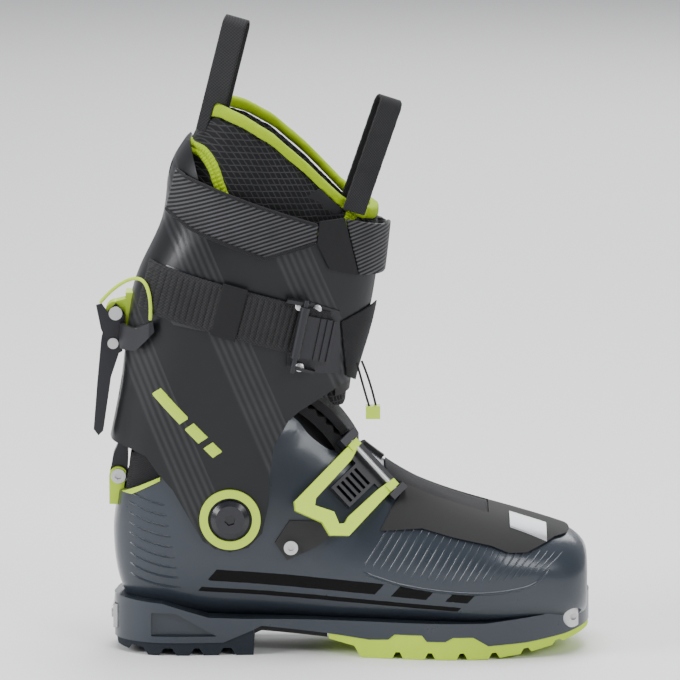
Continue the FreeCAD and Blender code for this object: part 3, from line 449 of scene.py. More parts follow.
def layer_piece(name: str, skin: Grid, low: object, high: object, finish: Finish, body: str,
                uv: Grid | None = None, out: Sequence[float] | None = None) -> bpy.types.Object:
    """A closed sheet that lies on a skin between two lifts.

    Its top is skin + normal * high and its bottom skin + normal * low; the borders are joined.

    Args:
        name: piece name.
        skin: (rows, cols, 3) grid on the surface.
        low: lift of the underside in metres, a number or a (rows, cols) array.
        high: lift of the top in metres, the same.
        finish: its finish.
        body: the CAD body that it rides on.
        uv: (rows, cols, 2) coordinates, or None.
        out: a rough outward direction, which settles the sign of the normals.

    Returns:
        The new object.
    """
    rows, cols = skin.shape[:2]
    n = normals_of(skin)
    flip = False
    if out is not None and float(np.mean(n @ np.asarray(out, float))) < 0:
        n = -n
        flip = True
    high_grid = np.broadcast_to(np.asarray(high, float), (rows, cols))[..., None]
    low_grid = np.broadcast_to(np.asarray(low, float), (rows, cols))[..., None]
    points = np.concatenate([(skin + n * high_grid).reshape(-1, 3), (skin + n * low_grid).reshape(-1, 3)])
    faces = np.concatenate([grid_faces(rows, cols, flip=True), grid_faces(rows, cols, offset=rows * cols),
                            rim_faces(rows, cols)])
    if flip:
        faces = faces[:, ::-1]
    uvs = None if uv is None else np.concatenate([uv.reshape(-1, 2)] * 2)
    obj = mesh_piece(name, points, faces, uvs, finish, body)
    face_outward(obj)
    return obj


def face_outward(obj: bpy.types.Object) -> None:
    """Turns the faces of a closed piece outwards and marks its sharp edges."""
    work = bmesh.new()
    work.from_mesh(obj.data)
    bmesh.ops.recalc_face_normals(work, faces=work.faces)
    work.to_mesh(obj.data)
    work.free()
    obj.data.set_sharp_from_angle(angle=math.radians(42.0))


def bevelled(node: str, finish: Finish, width: float = 0.0004, segments: int = 2,
             name: str | None = None) -> bpy.types.Object:
    """A merged copy of a CAD node with rounded edges, which stands for the node.

    Args:
        node: the CAD node.
        finish: its finish.
        width: width of the rounding in metres.
        segments: steps across the rounding.
        name: piece name; the node's name with "_form" if left out.

    Returns:
        The new object.
    """
    source = frame["nodes"][node]
    mesh = source.data.copy()
    work = bmesh.new()
    work.from_mesh(mesh)
    bmesh.ops.remove_doubles(work, verts=work.verts, dist=2e-6)
    bmesh.ops.dissolve_limit(work, angle_limit=math.radians(0.6), verts=work.verts, edges=work.edges)
    bmesh.ops.triangulate(work, faces=[f for f in work.faces if len(f.verts) > 4])
    work.to_mesh(mesh)
    work.free()
    mesh.materials.clear()
    mesh.materials.append(finish.make())
    mesh.polygons.foreach_set("use_smooth", np.ones(len(mesh.polygons), bool))
    mesh.set_sharp_from_angle(angle=math.radians(30.0))
    obj = bpy.data.objects.new(name or node + "_form", mesh)
    bpy.context.scene.collection.objects.link(obj)
    round_off = obj.modifiers.new("edges", "BEVEL")
    round_off.width = width
    round_off.segments = segments
    round_off.limit_method = "ANGLE"
    round_off.angle_limit = math.radians(40.0)
    round_off.harden_normals = True
    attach(obj, source["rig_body"])
    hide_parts(node)
    return obj


def dress(node: str, finish: Finish) -> bpy.types.Object:
    """Gives a CAD node, shown as it is, a finish."""
    obj = frame["nodes"][node]
    obj.data.materials.clear()
    obj.data.materials.append(finish.make())
    return obj


def curve_through(points: Sequence[Sequence[float]], count: int) -> Grid:
    """Samples a Catmull-Rom curve: between two points it is the cubic whose slopes are half the chord of the neighbours.

    Args:
        points: (n, k) knots.
        count: number of samples.

    Returns:
        (count, k) samples, evenly spaced in the knot parameter.
    """
    p = np.asarray(points, float)
    t = np.linspace(0.0, len(p) - 1.0, count)
    return curve_at(p, t)


def curve_at(p: Grid, t: Grid) -> Grid:
    """The Catmull-Rom curve of knots p at parameters t, of any shape."""
    k = np.clip(np.floor(t).astype(int), 0, len(p) - 2)
    f = (t - k)[..., None]
    before, after = p[np.maximum(k - 1, 0)], p[np.minimum(k + 2, len(p) - 1)]
    a, b = p[k], p[k + 1]
    m0, m1 = (b - before) * 0.5, (after - a) * 0.5
    m0 = np.where((k == 0)[..., None], b - a, m0)
    m1 = np.where((k == len(p) - 2)[..., None], b - a, m1)
    return ((2 * f**3 - 3 * f**2 + 1) * a + (f**3 - 2 * f**2 + f) * m0 + (-2 * f**3 + 3 * f**2) * b
            + (f**3 - f**2) * m1)


@dataclass(frozen=True)
class Skin:
    """A lofted skin of super-ellipse sections, in millimetres.

    Each section is (rear x, rear z, front x, front z, half width, centre y). Along a section the half width
    follows (1 - |2f - 1|^2.5)^0.4, with f from 0 at the rear to 1 at the front.
    """

    sections: tuple[tuple[float, ...], ...]

    def around(self, s: Grid, turn: Grid, lift: float = 0.0) -> Grid:
        """Points at section parameter s and turn: 0 at the rear, 0.5 at the front, negative on the outer side."""
        ax, az, bx, bz, half, mid = np.moveaxis(curve_at(np.asarray(self.sections, float), s), -1, 0)
        angle = 2.0 * np.pi * turn
        c, sn = np.cos(angle), np.sin(angle)
        along = 0.5 - 0.5 * np.sign(c) * np.abs(c) ** 0.8
        across = np.sign(sn) * np.abs(sn) ** 0.8
        length = np.hypot(bx - ax, bz - az)
        ux, uz = (bx - ax) / length, (bz - az) / length
        reach = (2.0 * along - 1.0) * lift
        x = ax + (bx - ax) * along + ux * reach
        z = az + (bz - az) * along + uz * reach
        return np.stack([x, mid + across * (half + lift), z], -1) * MM

    def beside(self, x: Grid, z: Grid, side: float = -1.0, lift: float = 2.0) -> Grid:
        """Points on the skin seen at (x, z) from one side; s is found by halving the interval."""
        table = np.asarray(self.sections, float)
        low = np.zeros_like(x)
        high = np.full_like(x, len(table) - 1.0)
        for _ in range(28):
            s = 0.5 * (low + high)
            ax, az, bx, bz = np.moveaxis(curve_at(table, s), -1, 0)[:4]
            above = (bx - ax) * (z - az) - (bz - az) * (x - ax) > 0
            low = np.where(above, s, low)
            high = np.where(above, high, s)
        ax, az, bx, bz, half, mid = np.moveaxis(curve_at(table, 0.5 * (low + high)), -1, 0)
        f = ((x - ax) * (bx - ax) + (z - az) * (bz - az)) / ((bx - ax) ** 2 + (bz - az) ** 2)
        width = np.clip(1.0 - np.abs(2.0 * f - 1.0) ** 2.5, 0.0, 1.0) ** 0.4
        return np.stack([x, mid + side * (half * width + lift), z], -1) * MM


def patch(corners: Sequence[Sequence[float]], rows: int, cols: int) -> tuple[Grid, Grid]:
    """A bilinear (x, z) grid between four corners: start low, end low, end high, start high."""
    a, b, c, d = (np.asarray(p, float) for p in corners)
    u = np.linspace(0.0, 1.0, cols)[None, :, None]
    v = np.linspace(0.0, 1.0, rows)[:, None, None]
    p = (a * (1 - u) + b * u) * (1 - v) + (d * (1 - u) + c * u) * v
    return p[..., 0], p[..., 1]


def rounded_edge(rows: int, cols: int, share: float, ends: bool = True) -> Grid:
    """Height profile that is 1 in the middle and falls off in a quarter circle within a share of each border."""
    v = np.linspace(0.0, 1.0, rows)[:, None]
    u = np.linspace(0.0, 1.0, cols)[None, :]
    fall_v = np.clip(np.minimum(v, 1 - v) / share, 0, 1)
    profile = np.sqrt(1 - (1 - fall_v) ** 2)
    if ends:
        fall_u = np.clip(np.minimum(u, 1 - u) / (share * rows / cols), 0, 1)
        profile = np.minimum(profile, np.sqrt(1 - (1 - fall_u) ** 2))
    return np.broadcast_to(profile, (rows, cols))


def uv_grid(rows: int, cols: int, width: float, length: float) -> Grid:
    """UV coordinates in metres: length along the columns, width along the rows."""
    u, v = np.meshgrid(np.linspace(0, length, cols), np.linspace(0, width, rows))
    return np.stack([u, v], -1)


def tube(name: str, path: Grid, radius: float, finish: Finish, body: str | None, sides: int = 12,
         flat: float = 1.0) -> bpy.types.Object:
    """A closed tube: circles of a radius, squeezed by flat, in the planes square to the path.

    The frame of each circle is the path's direction, its cross product with the vertical, and their cross product.

    Args:
        name: piece name.
        path: (n, 3) centreline in metres.
        radius: radius in metres; it closes to a point within a fifth of the first and last step.
        finish: its finish.
        body: the CAD body that it rides on.
        sides: points around.
        flat: ratio of the second half axis to the first.

    Returns:
        The new object.
    """
    near = np.array([[0.0], [0.06], [0.2]])
    path = np.concatenate([path[0] + (path[1] - path[0]) * near, path[1:-1],
                           path[-1] + (path[-2] - path[-1]) * near[::-1]])
    n = len(path)
    t = np.gradient(path, axis=0)
    t /= np.linalg.norm(t, axis=1, keepdims=True)
    hint = np.array([0.0, 1.0, 0.0]) if abs(t[:, 1]).mean() < 0.7 else np.array([0.0, 0.0, 1.0])
    side = np.cross(t, hint)
    side /= np.linalg.norm(side, axis=1, keepdims=True)
    up = np.cross(side, t)
    r = np.full(n, radius)
    caps = np.array([0.0, 0.6, 0.9])
    r[:3] *= caps
    r[-3:] *= caps[::-1]
    r = np.maximum(r, 1e-6)
    angle = np.linspace(0, 2 * np.pi, sides, endpoint=False)
    ring = (side[:, None, :] * np.cos(angle)[None, :, None] * r[:, None, None]
            + up[:, None, :] * np.sin(angle)[None, :, None] * r[:, None, None] * flat)
    points = (path[:, None, :] + ring).reshape(-1, 3)
    steps = np.concatenate([[0.0], np.cumsum(np.linalg.norm(np.diff(path, axis=0), axis=1))])
    uv = np.stack(np.broadcast_arrays(steps[:, None], (angle * float(np.mean(r)))[None, :]), -1).reshape(-1, 2)
    obj = mesh_piece(name, points, grid_faces(n, sides, wrap=True), uv, finish, body)
    work = bmesh.new()
    work.from_mesh(obj.data)
    bmesh.ops.remove_doubles(work, verts=work.verts, dist=4e-6)
    bmesh.ops.recalc_face_normals(work, faces=work.faces)
    work.to_mesh(obj.data)
    work.free()
    return obj


def ribbon(name: str, path: Grid, across: Grid, width: float, thick: float, finish: Finish,
           body: str) -> bpy.types.Object:
    """A flat band carried along a path.

    Its section is a rectangle with a width along across and a thickness square to the path and across.

    Args:
        name: piece name.
        path: (n, 3) middle line in metres.
        across: (n, 3) or (3,) direction of the width.
        width: width in metres.
        thick: thickness in metres.
        finish: its finish.
        body: the CAD body that it rides on.

    Returns:
        The new object.
    """
    n = len(path)
    t = np.gradient(path, axis=0)
    t /= np.linalg.norm(t, axis=1, keepdims=True)
    a = np.broadcast_to(np.asarray(across, float), (n, 3))
    a = a - t * np.sum(a * t, axis=1, keepdims=True)
    a = a / np.linalg.norm(a, axis=1, keepdims=True)
    up = np.cross(t, a)
    v = np.linspace(-0.5, 0.5, 9)
    edge = np.sqrt(np.clip(1 - (np.abs(v) * 2) ** 8, 0, 1)) * 0.85 + 0.15
    skin = path[:, None, :] + a[:, None, :] * (v * width)[None, :, None]
    lift = up[:, None, :] * (edge * thick * 0.5)[None, :, None]
    length = float(np.linalg.norm(np.diff(path, axis=0), axis=1).sum())
    points = np.concatenate([(skin + lift).reshape(-1, 3), (skin - lift).reshape(-1, 3)])
    faces = np.concatenate([grid_faces(n, 9, flip=True), grid_faces(n, 9, offset=n * 9), rim_faces(n, 9)])
    u, w = np.meshgrid(np.linspace(0, length, n), np.linspace(0, width, 9), indexing="ij")
    uv = np.concatenate([np.stack([u, w], -1).reshape(-1, 2)] * 2)
    obj = mesh_piece(name, points, faces, uv, finish, body)
    face_outward(obj)
    return obj


# ---------------------------------------------------------------- skins shared by the pieces
SHELL_SKIN = Skin((
    (153.6, 25, 153.6, 56, 22, 5), (150.5, 20, 150.5, 66, 34, 5), (141, 17, 141, 73, 43, 4),
    (110, 15, 116, 81, 52, 2), (70, 14, 86, 90, 54, 0), (30, 15, 60, 99, 49, 0), (-10, 17, 40, 109, 43, 0),
    (-50, 19, 22, 121, 38, 0), (-90, 19, 7, 133, 37, 0), (-124, 24, -5, 143, 37, 0), (-141, 50, -13, 150, 37, 0),
    (-143, 75, -18, 154, 37, 0), (-140, 100, -22, 158, 37, 0)))
CUFF_SKIN = Skin((
    (-150, 50, 18, 64, 40.9, 0), (-149, 95, 22, 116, 41.1, 0), (-144, 137, 8, 165, 43, 0),
    (-134.5, 200, 22, 222, 47, 0), (-126, 240, 27, 258, 49.5, 0), (-114.5, 264, 29, 277, 50.5, 0),
    (-109, 290, 32, 299, 51, 0), (-102, 314, 36, 322, 51, 0), (-88, 356, 43, 362, 51, 0)))


def on_node(node: str, skin: Skin, corners: Sequence[Sequence[float]], rows: int, cols: int,
            side: float = -1.0, lift: float = 3.0) -> Grid:
    """A four-cornered grid given in side view, laid on a CAD node from outside.

    The grid's points start on the lofted skin, a few millimetres out, and move to the nearest place on the node.
    """
    x, z = patch(corners, rows, cols)
    return snapped(skin.beside(x, z, side, lift), node)


@dataclass
class LowerShell:
    """The clog: shell, ribs on the forefoot and the heel, and side stripes.

    Attributes:
        rib_height: height of a moulded rib in metres.
        ribs: (low end, high end) of each forefoot rib in side view, in millimetres.
        stripes: corners of each raised plain stripe in side view, in millimetres.
    """

    rib_height: float = 0.0005
    rib_count: int = 24
    stripes: tuple[tuple[tuple[float, float], ...], ...] = (
        ((-84.0, 47.0), (20.0, 40.0), (26.0, 47.5), (-78.0, 54.5)),
        ((30.0, 39.2), (52.0, 37.6), (58.0, 45.0), (36.0, 46.7)),
        ((-90.0, 39.5), (72.0, 29.5), (74.5, 32.5), (-87.5, 42.5)),
        ((64.0, 36.8), (78.0, 35.8), (84.0, 43.2), (70.0, 44.2)))

    def ribs(self) -> None:
        """Slanted ridges over the forefoot; each is a half-sine ridge that sinks into the shell at both ends."""
        for i in range(self.rib_count):
            t = i / (self.rib_count - 1)
            low = (12.0 + 112.0 * t, 56.0 - 9.0 * math.sin(math.pi * t) - 1.5 * t)
            high = (34.0 + 106.0 * t, 92.0 - 24.0 * t)
            width = 1.3
            corners = ((low[0] - width, low[1]), (high[0] - width, high[1]),
                       (high[0] + width, high[1]), (low[0] + width, low[1]))
            skin = on_node("lower_shell", SHELL_SKIN, corners, 9, 26)
            v = np.linspace(0.0, np.pi, 9)[:, None]
            u = np.linspace(0.0, np.pi, 26)[None, :]
            rise = np.sin(v) ** 1.3 * np.minimum(1.0, 2.2 * np.sin(u)) * self.rib_height * 1.35 - 0.00035
            layer_piece(f"toe_rib_{i + 1:02d}", skin, -0.0008, rise, SHELL_PLASTIC, "lower_boot", out=(0, -1, 0))

    def heel_ribs(self) -> None:
        """Fine curved ridges round the outer side of the heel, one arc above another."""
        for i in range(9):
            z0 = 42.0 + 6.6 * i
            x = np.linspace(-136.0, -98.0 - 1.4 * i, 30)[None, :].repeat(7, 0)
            bow = 9.0 * ((x + 100.0) / 36.0) ** 2
            z = z0 + bow + np.linspace(-0.9, 0.9, 7)[:, None]
            skin = snapped(SHELL_SKIN.beside(x, z, -1.0, 3.0), "lower_shell")
            v = np.linspace(0.0, np.pi, 7)[:, None]
            u = np.linspace(0.0, np.pi, 30)[None, :]
            rise = np.sin(v) * np.minimum(1.0, 2.0 * np.sin(u)) * 0.0010 - 0.0003
            layer_piece(f"heel_rib_{i + 1:02d}", skin, -0.0008, rise, SHELL_PLASTIC, "lower_boot", out=(0, -1, 0))

    def side_stripes(self) -> None:
        """Plain slanted bars laid thinly on the shell's outer side."""
        for i, corners in enumerate(self.stripes):
            skin = on_node("lower_shell", SHELL_SKIN, corners, 10, 60)
            layer_piece(f"side_stripe_{i + 1}", skin, -0.0005, 0.0002 * rounded_edge(10, 60, 0.1),
                        STRIPE_BLACK, "lower_boot", out=(0, -1, 0))

    def crease(self) -> None:
        """The raised line that parts the ribbed forefoot from the smooth side."""
        line = curve_through([(10.0, 55.5), (36.0, 47.5), (64.0, 43.5), (92.0, 43.0), (118.0, 47.0), (132.0, 58.0)], 70)
        across = np.linspace(-1.3, 1.3, 7)[:, None]
        x = line[None, :, 0].repeat(7, 0)
        z = line[None, :, 1] + across
        skin = snapped(SHELL_SKIN.beside(x, z, -1.0, 3.0), "lower_shell")
        v = np.linspace(0.0, np.pi, 7)[:, None]
        u = np.linspace(0.0, np.pi, 70)[None, :]
        rise = np.sin(v) * np.minimum(1.0, 5.0 * np.sin(u)) * 0.0012 - 0.0003
        layer_piece("toe_crease", skin, -0.0008, rise, SHELL_PLASTIC, "lower_boot", out=(0, -1, 0))

    def build(self) -> None:
        """Dresses the shell and adds its ribs, crease and stripes."""
        dress("lower_shell", SHELL_PLASTIC)
        dress("boot_board", BLACK_PLASTIC)
        self.ribs()
        self.heel_ribs()
        self.crease()
        self.side_stripes()
        log.info("lower shell: %d toe ribs, 9 heel ribs, %d stripes", self.rib_count, len(self.stripes))


@dataclass
class Sole:
    """Toe and heel rubber, the arch strip and the metal inserts."""

    shields: tuple[tuple[tuple[float, float], ...], ...] = (
        ((33.0, 4.5), (47.0, 4.5), (50.0, 12.5), (31.0, 12.5)),
        ((64.0, 4.5), (82.0, 4.5), (87.0, 11.5), (61.0, 11.5)))

    def build(self) -> None:
        """Lays two lime shields on the toe rubber and dresses the rubber and the metal inserts."""
        for i, corners in enumerate(self.shields):
            skin = on_node("toe_sole", SHELL_SKIN, corners, 14, 18)
            frame_line = rounded_edge(14, 18, 0.12)
            middle = 1.0 - 0.55 * rounded_edge(14, 18, 0.34) * (rounded_edge(14, 18, 0.3) > 0.8)
            layer_piece(f"sole_shield_{i + 1}", skin, -0.001, 0.0008 * frame_line * middle, LIME_RUBBER,
                        "lower_boot", out=(0, -1, 0))
        dress("heel_sole", HEEL_RUBBER)
        dress("arch_pad", BLACK_RUBBER)
        dress("toe_sole", LIME_RUBBER)
        for node in ("toe_insert_outer", "toe_insert_inner", "heel_insert", "heel_insert_screw"):
            dress(node, STEEL)
        log.info("sole: three rubber parts and four metal parts")


@dataclass
class Studio:
    """Camera, floor and lights.

    Attributes:
        distance: camera distance in metres.
        elevation: camera height above the horizon in degrees.
        span: width of the view at the boot in metres.
        centre: the point that the camera looks at.
    """

    distance: float = 4.5
    elevation: float = 10.0
    span: float = 0.425
    centre: tuple[float, float, float] = (-0.001, 0.0, 0.194)

    def camera(self) -> None:
        """A long lens that looks along +Y and a little down."""
        data = bpy.data.cameras.new("camera")
        data.sensor_width = 36.0
        data.lens = 36.0 * self.distance / self.span
        data.clip_end = 50.0
        obj = bpy.data.objects.new("camera", data)
        tilt = math.radians(self.elevation)
        obj.location = Vector(self.centre) + Vector((0.0, -math.cos(tilt), math.sin(tilt))) * self.distance
        obj.rotation_euler = (math.radians(90.0 - self.elevation), 0.0, 0.0)
        bpy.context.scene.collection.objects.link(obj)
        bpy.context.scene.camera = obj

    def floor(self) -> None:
        """A wide pale disc just under the soles; ring radii grow with the power 1.5."""
        radius, rings, sides = 14.0, 24, 96
        r = np.linspace(0.0, 1.0, rings)[1:] ** 1.5 * radius
        angle = np.linspace(0.0, 2.0 * np.pi, sides, endpoint=False)
        x = np.concatenate([[0.0], (r[:, None] * np.cos(angle)).ravel()])
        y = np.concatenate([[0.0], (r[:, None] * np.sin(angle)).ravel()])
        points = np.stack([x, y, np.full_like(x, float(CAD_BOX[0][2]) - 0.0002)], -1)
        inner = np.arange(sides)
        mesh = bpy.data.meshes.new("floor")
        fan = np.stack([np.zeros(sides, int), 1 + inner, 1 + (inner + 1) % sides], -1).tolist()
        quads = (grid_faces(rings - 1, sides, wrap=True, offset=1)[:, ::-1]).tolist()
        mesh.from_pydata(points.tolist(), [], fan + quads)
        obj = bpy.data.objects.new("floor", mesh)
        mesh.materials.append(Finish("floor_paper", (0.80, 0.80, 0.80), roughness=0.7, size=0.02, depth=0.00002,
                                     wear=0.02).make())
        bpy.context.scene.collection.objects.link(obj)

    def lamp(self, name: str, place: tuple[float, float, float], size: float, power: float) -> None:
        """A square area light that faces the boot."""
        data = bpy.data.lights.new(name, "AREA")
        data.size = size
        data.energy = power
        obj = bpy.data.objects.new(name, data)
        obj.location = place
        obj.rotation_euler = (Vector((0.0, 0.0, 0.2)) - Vector(place)).to_track_quat("-Z", "Y").to_euler()
        bpy.context.scene.collection.objects.link(obj)

    def build(self) -> None:
        """Sets up the view, the floor and the soft light."""
        self.camera()
        self.floor()
        self.lamp("light_top", (0.1, 0.1, 2.3), 1.5, 74.0)
        self.lamp("light_front", (1.6, -1.9, 1.4), 1.0, 30.0)
        self.lamp("light_rear", (-2.1, -0.8, 1.1), 0.9, 46.0)
        self.lamp("light_back", (0.5, 2.4, 1.6), 1.8, 40.0)
        world = bpy.data.worlds.new("world")
        world.use_nodes = True
        world.node_tree.nodes["Background"].inputs[0].default_value = (0.93, 0.95, 1.0, 1.0)
        world.node_tree.nodes["Background"].inputs[1].default_value = 0.42
        bpy.context.scene.world = world
        log.info("studio: camera at %.1f m", self.distance)


@dataclass
class Liner:
    """The inner boot: foot part, padded collar, padded tongue, rim piping, ribbed bands and label.

    Attributes:
        inset: distance from the cuff's skin to the liner's outer face, in millimetres; not used.
        wall: padding thickness in millimetres; not used.
        rim: (x, z) points of the collar's top edge in side view; not used.
    """

    inset: float = 5.9
    wall: float = 6.5
    rows: int = 46
    cols: int = 110
    rim: tuple[tuple[float, float], ...] = (
        (-104, 318), (-92, 333), (-83, 345), (-76, 347), (-60, 341), (-43, 331), (-22, 313), (0, 291), (12, 283),
        (30, 279))

    def build(self) -> None:
        """Dresses the hidden foot part and makes the padded collar and tongue."""
        soft_form("liner_foot", "liner_foot_pad", LINER_CLOTH, 0.0024, 5)
        soft_form("footbed", "footbed_felt", GREY_FELT, 0.0014, 3)
        soft_copy("liner_cuff", "liner_collar", LINER_MESH, 0.0026, 5.0, 0.8)
        soft_copy("liner_tongue", "liner_tongue_pad", LINER_MESH, 0.0026, 5.0, 0.8)
        soft_form("rim_binding", "rim_piping", LIME_CLOTH, 0.0016)
        soft_form("tongue_binding", "tongue_piping", LIME_CLOTH, 0.0016)
        self.bands()
        self.label()
        log.info("liner: collar, tongue and piping")

    def band(self, name: str, line: Sequence[Sequence[float]], width: float, target: str) -> None:
        """A ribbed elastic band sewn on the collar: its height is a raised sine along its length.

        Args:
            name: piece name.
            line: middle line of the band in side view, in millimetres.
            width: width of the band in millimetres.
            target: the CAD node that it lies on.
        """
        count, rows = 150, 9
        mid = curve_through(line, count)
        slope = np.gradient(mid, axis=0)
        slope /= np.linalg.norm(slope, axis=1, keepdims=True)
        side = np.stack([-slope[:, 1], slope[:, 0]], -1)
        v = np.linspace(-0.5, 0.5, rows)[:, None]
        x = mid[None, :, 0] + v * width * side[None, :, 0]
        z = mid[None, :, 1] + v * width * side[None, :, 1]
        skin = snapped(CUFF_SKIN.beside(x, z, -1.0, 1.0), target)
        length = float(np.linalg.norm(np.diff(mid, axis=0), axis=1).sum())
        ribs = 0.55 + 0.45 * np.abs(np.sin(np.linspace(0.0, np.pi * length / 2.1, count)))[None, :]
        seam = 1.0 - 0.45 * np.exp(-((v * width) / 0.5) ** 2)
        layer_piece(name, skin, -0.001, 0.0017 * ribs * seam * rounded_edge(rows, count, 0.3), LIME_CLOTH, "cuff",
                    out=(0, -1, 0))

    def bands(self) -> None:
        """The two lime elastic bands below the rim."""
        self.band("rear_elastic", [(-100, 321), (-91, 319), (-83, 310), (-77, 296), (-70, 283), (-63, 275)], 8.0,
                  "liner_cuff")
        self.band("front_elastic", [(12, 281), (5, 273), (-6, 267), (-18, 264), (-30, 263)], 8.0, "liner_cuff")

    def label(self) -> None:
        """A plain woven label in one dark colour."""
        corners = ((-52, 279), (-6, 264), (4, 284), (-12, 296))
        skin = on_node("liner_cuff", CUFF_SKIN, corners, 16, 24, lift=1.0)
        layer_piece("size_label", skin, -0.001, 0.0006 * rounded_edge(16, 24, 0.1), LINER_SATIN, "cuff",
                    out=(0, -1, 0))


def merged_copy(node: str, name: str) -> bpy.types.Object:
    """A merged copy of a CAD node's mesh as a new object at the origin."""
    mesh = frame["nodes"][node].data.copy()
    work = bmesh.new()
    work.from_mesh(mesh)
    bmesh.ops.remove_doubles(work, verts=work.verts, dist=4e-6)
    bmesh.ops.recalc_face_normals(work, faces=work.faces)
    work.to_mesh(mesh)
    work.free()
    mesh.materials.clear()
    obj = bpy.data.objects.new(name, mesh)
    bpy.context.scene.collection.objects.link(obj)
    return obj


def apply_all(obj: bpy.types.Object) -> None:
    """Turns an object's mesh into what its modifiers show, and clears the modifiers."""
    graph = bpy.context.evaluated_depsgraph_get()
    final = bpy.data.meshes.new_from_object(obj.evaluated_get(graph))
    old = obj.data
    obj.modifiers.clear()
    obj.data = final
    bpy.data.meshes.remove(old)


def vertex_array(mesh: bpy.types.Mesh) -> Grid:
    """The positions of a mesh as an (n, 3) array."""
    flat = np.empty(len(mesh.vertices) * 3, np.float32)
    mesh.vertices.foreach_get("co", flat)
    return flat.reshape(-1, 3).astype(float)


def soft_form(node: str, name: str, finish: Finish, voxel: float, smooth: int = 6) -> bpy.types.Object:
    """A remeshed and smoothed copy of a sewn CAD solid, so that its edges are as round as folded cloth.

    Args:
        node: the CAD node that it stands for.
        name: piece name.
        finish: its finish.
        voxel: size of the remesh cell in metres.
        smooth: passes of smoothing.

    Returns:
        The new object.
    """
    obj = merged_copy(node, name)
    cells = obj.modifiers.new("cells", "REMESH")
    cells.mode = "VOXEL"
    cells.voxel_size = voxel
    ease = obj.modifiers.new("ease", "SMOOTH")
    ease.factor = 0.5
    ease.iterations = smooth
    apply_all(obj)
    obj.data.polygons.foreach_set("use_smooth", np.ones(len(obj.data.polygons), bool))
    finished(obj, finish)
    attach(obj, frame["nodes"][node]["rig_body"])
    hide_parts(node)
    return obj


def soft_copy(node: str, name: str, finish: Finish, voxel: float, pressure: float, cap: float) -> bpy.types.Object:
    """A padded copy of a CAD solid, swollen by a cloth simulation under pressure without gravity.

    The movement of every point is held to a cap, so the padding stays inside the shell around it.

    Args:
        node: the CAD node that it stands for.
        name: piece name.
        finish: its finish.
        voxel: size of the remesh cell in metres.
        pressure: cloth pressure.
        cap: largest movement in millimetres.

    Returns:
        The new object.
    """
    obj = merged_copy(node, name)
    cells = obj.modifiers.new("cells", "REMESH")
    cells.mode = "VOXEL"
    cells.voxel_size = voxel
    apply_all(obj)
    start = vertex_array(obj.data)
    cloth = obj.modifiers.new("cloth", "CLOTH")
    cloth.settings.use_pressure = True
    cloth.settings.uniform_pressure_force = pressure
    cloth.settings.effector_weights.gravity = 0.0
    cloth.settings.quality = 4
    scene = bpy.context.scene
    for number in range(1, 13):
        scene.frame_set(number)
    apply_all(obj)
    scene.frame_set(1)
    end = vertex_array(obj.data)
    move = end - start
    reach = np.linalg.norm(move, axis=1, keepdims=True)
    limit = cap * MM
    end = start + move * np.minimum(1.0, limit / np.maximum(reach, 1e-9))
    obj.data.vertices.foreach_set("co", end.astype(np.float32).ravel())
    ease = obj.modifiers.new("ease", "SMOOTH")
    ease.factor = 0.5
    ease.iterations = 4
    apply_all(obj)
    obj.data.polygons.foreach_set("use_smooth", np.ones(len(obj.data.polygons), bool))
    finished(obj, finish)
    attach(obj, frame["nodes"][node]["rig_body"])
    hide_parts(node)
    return obj


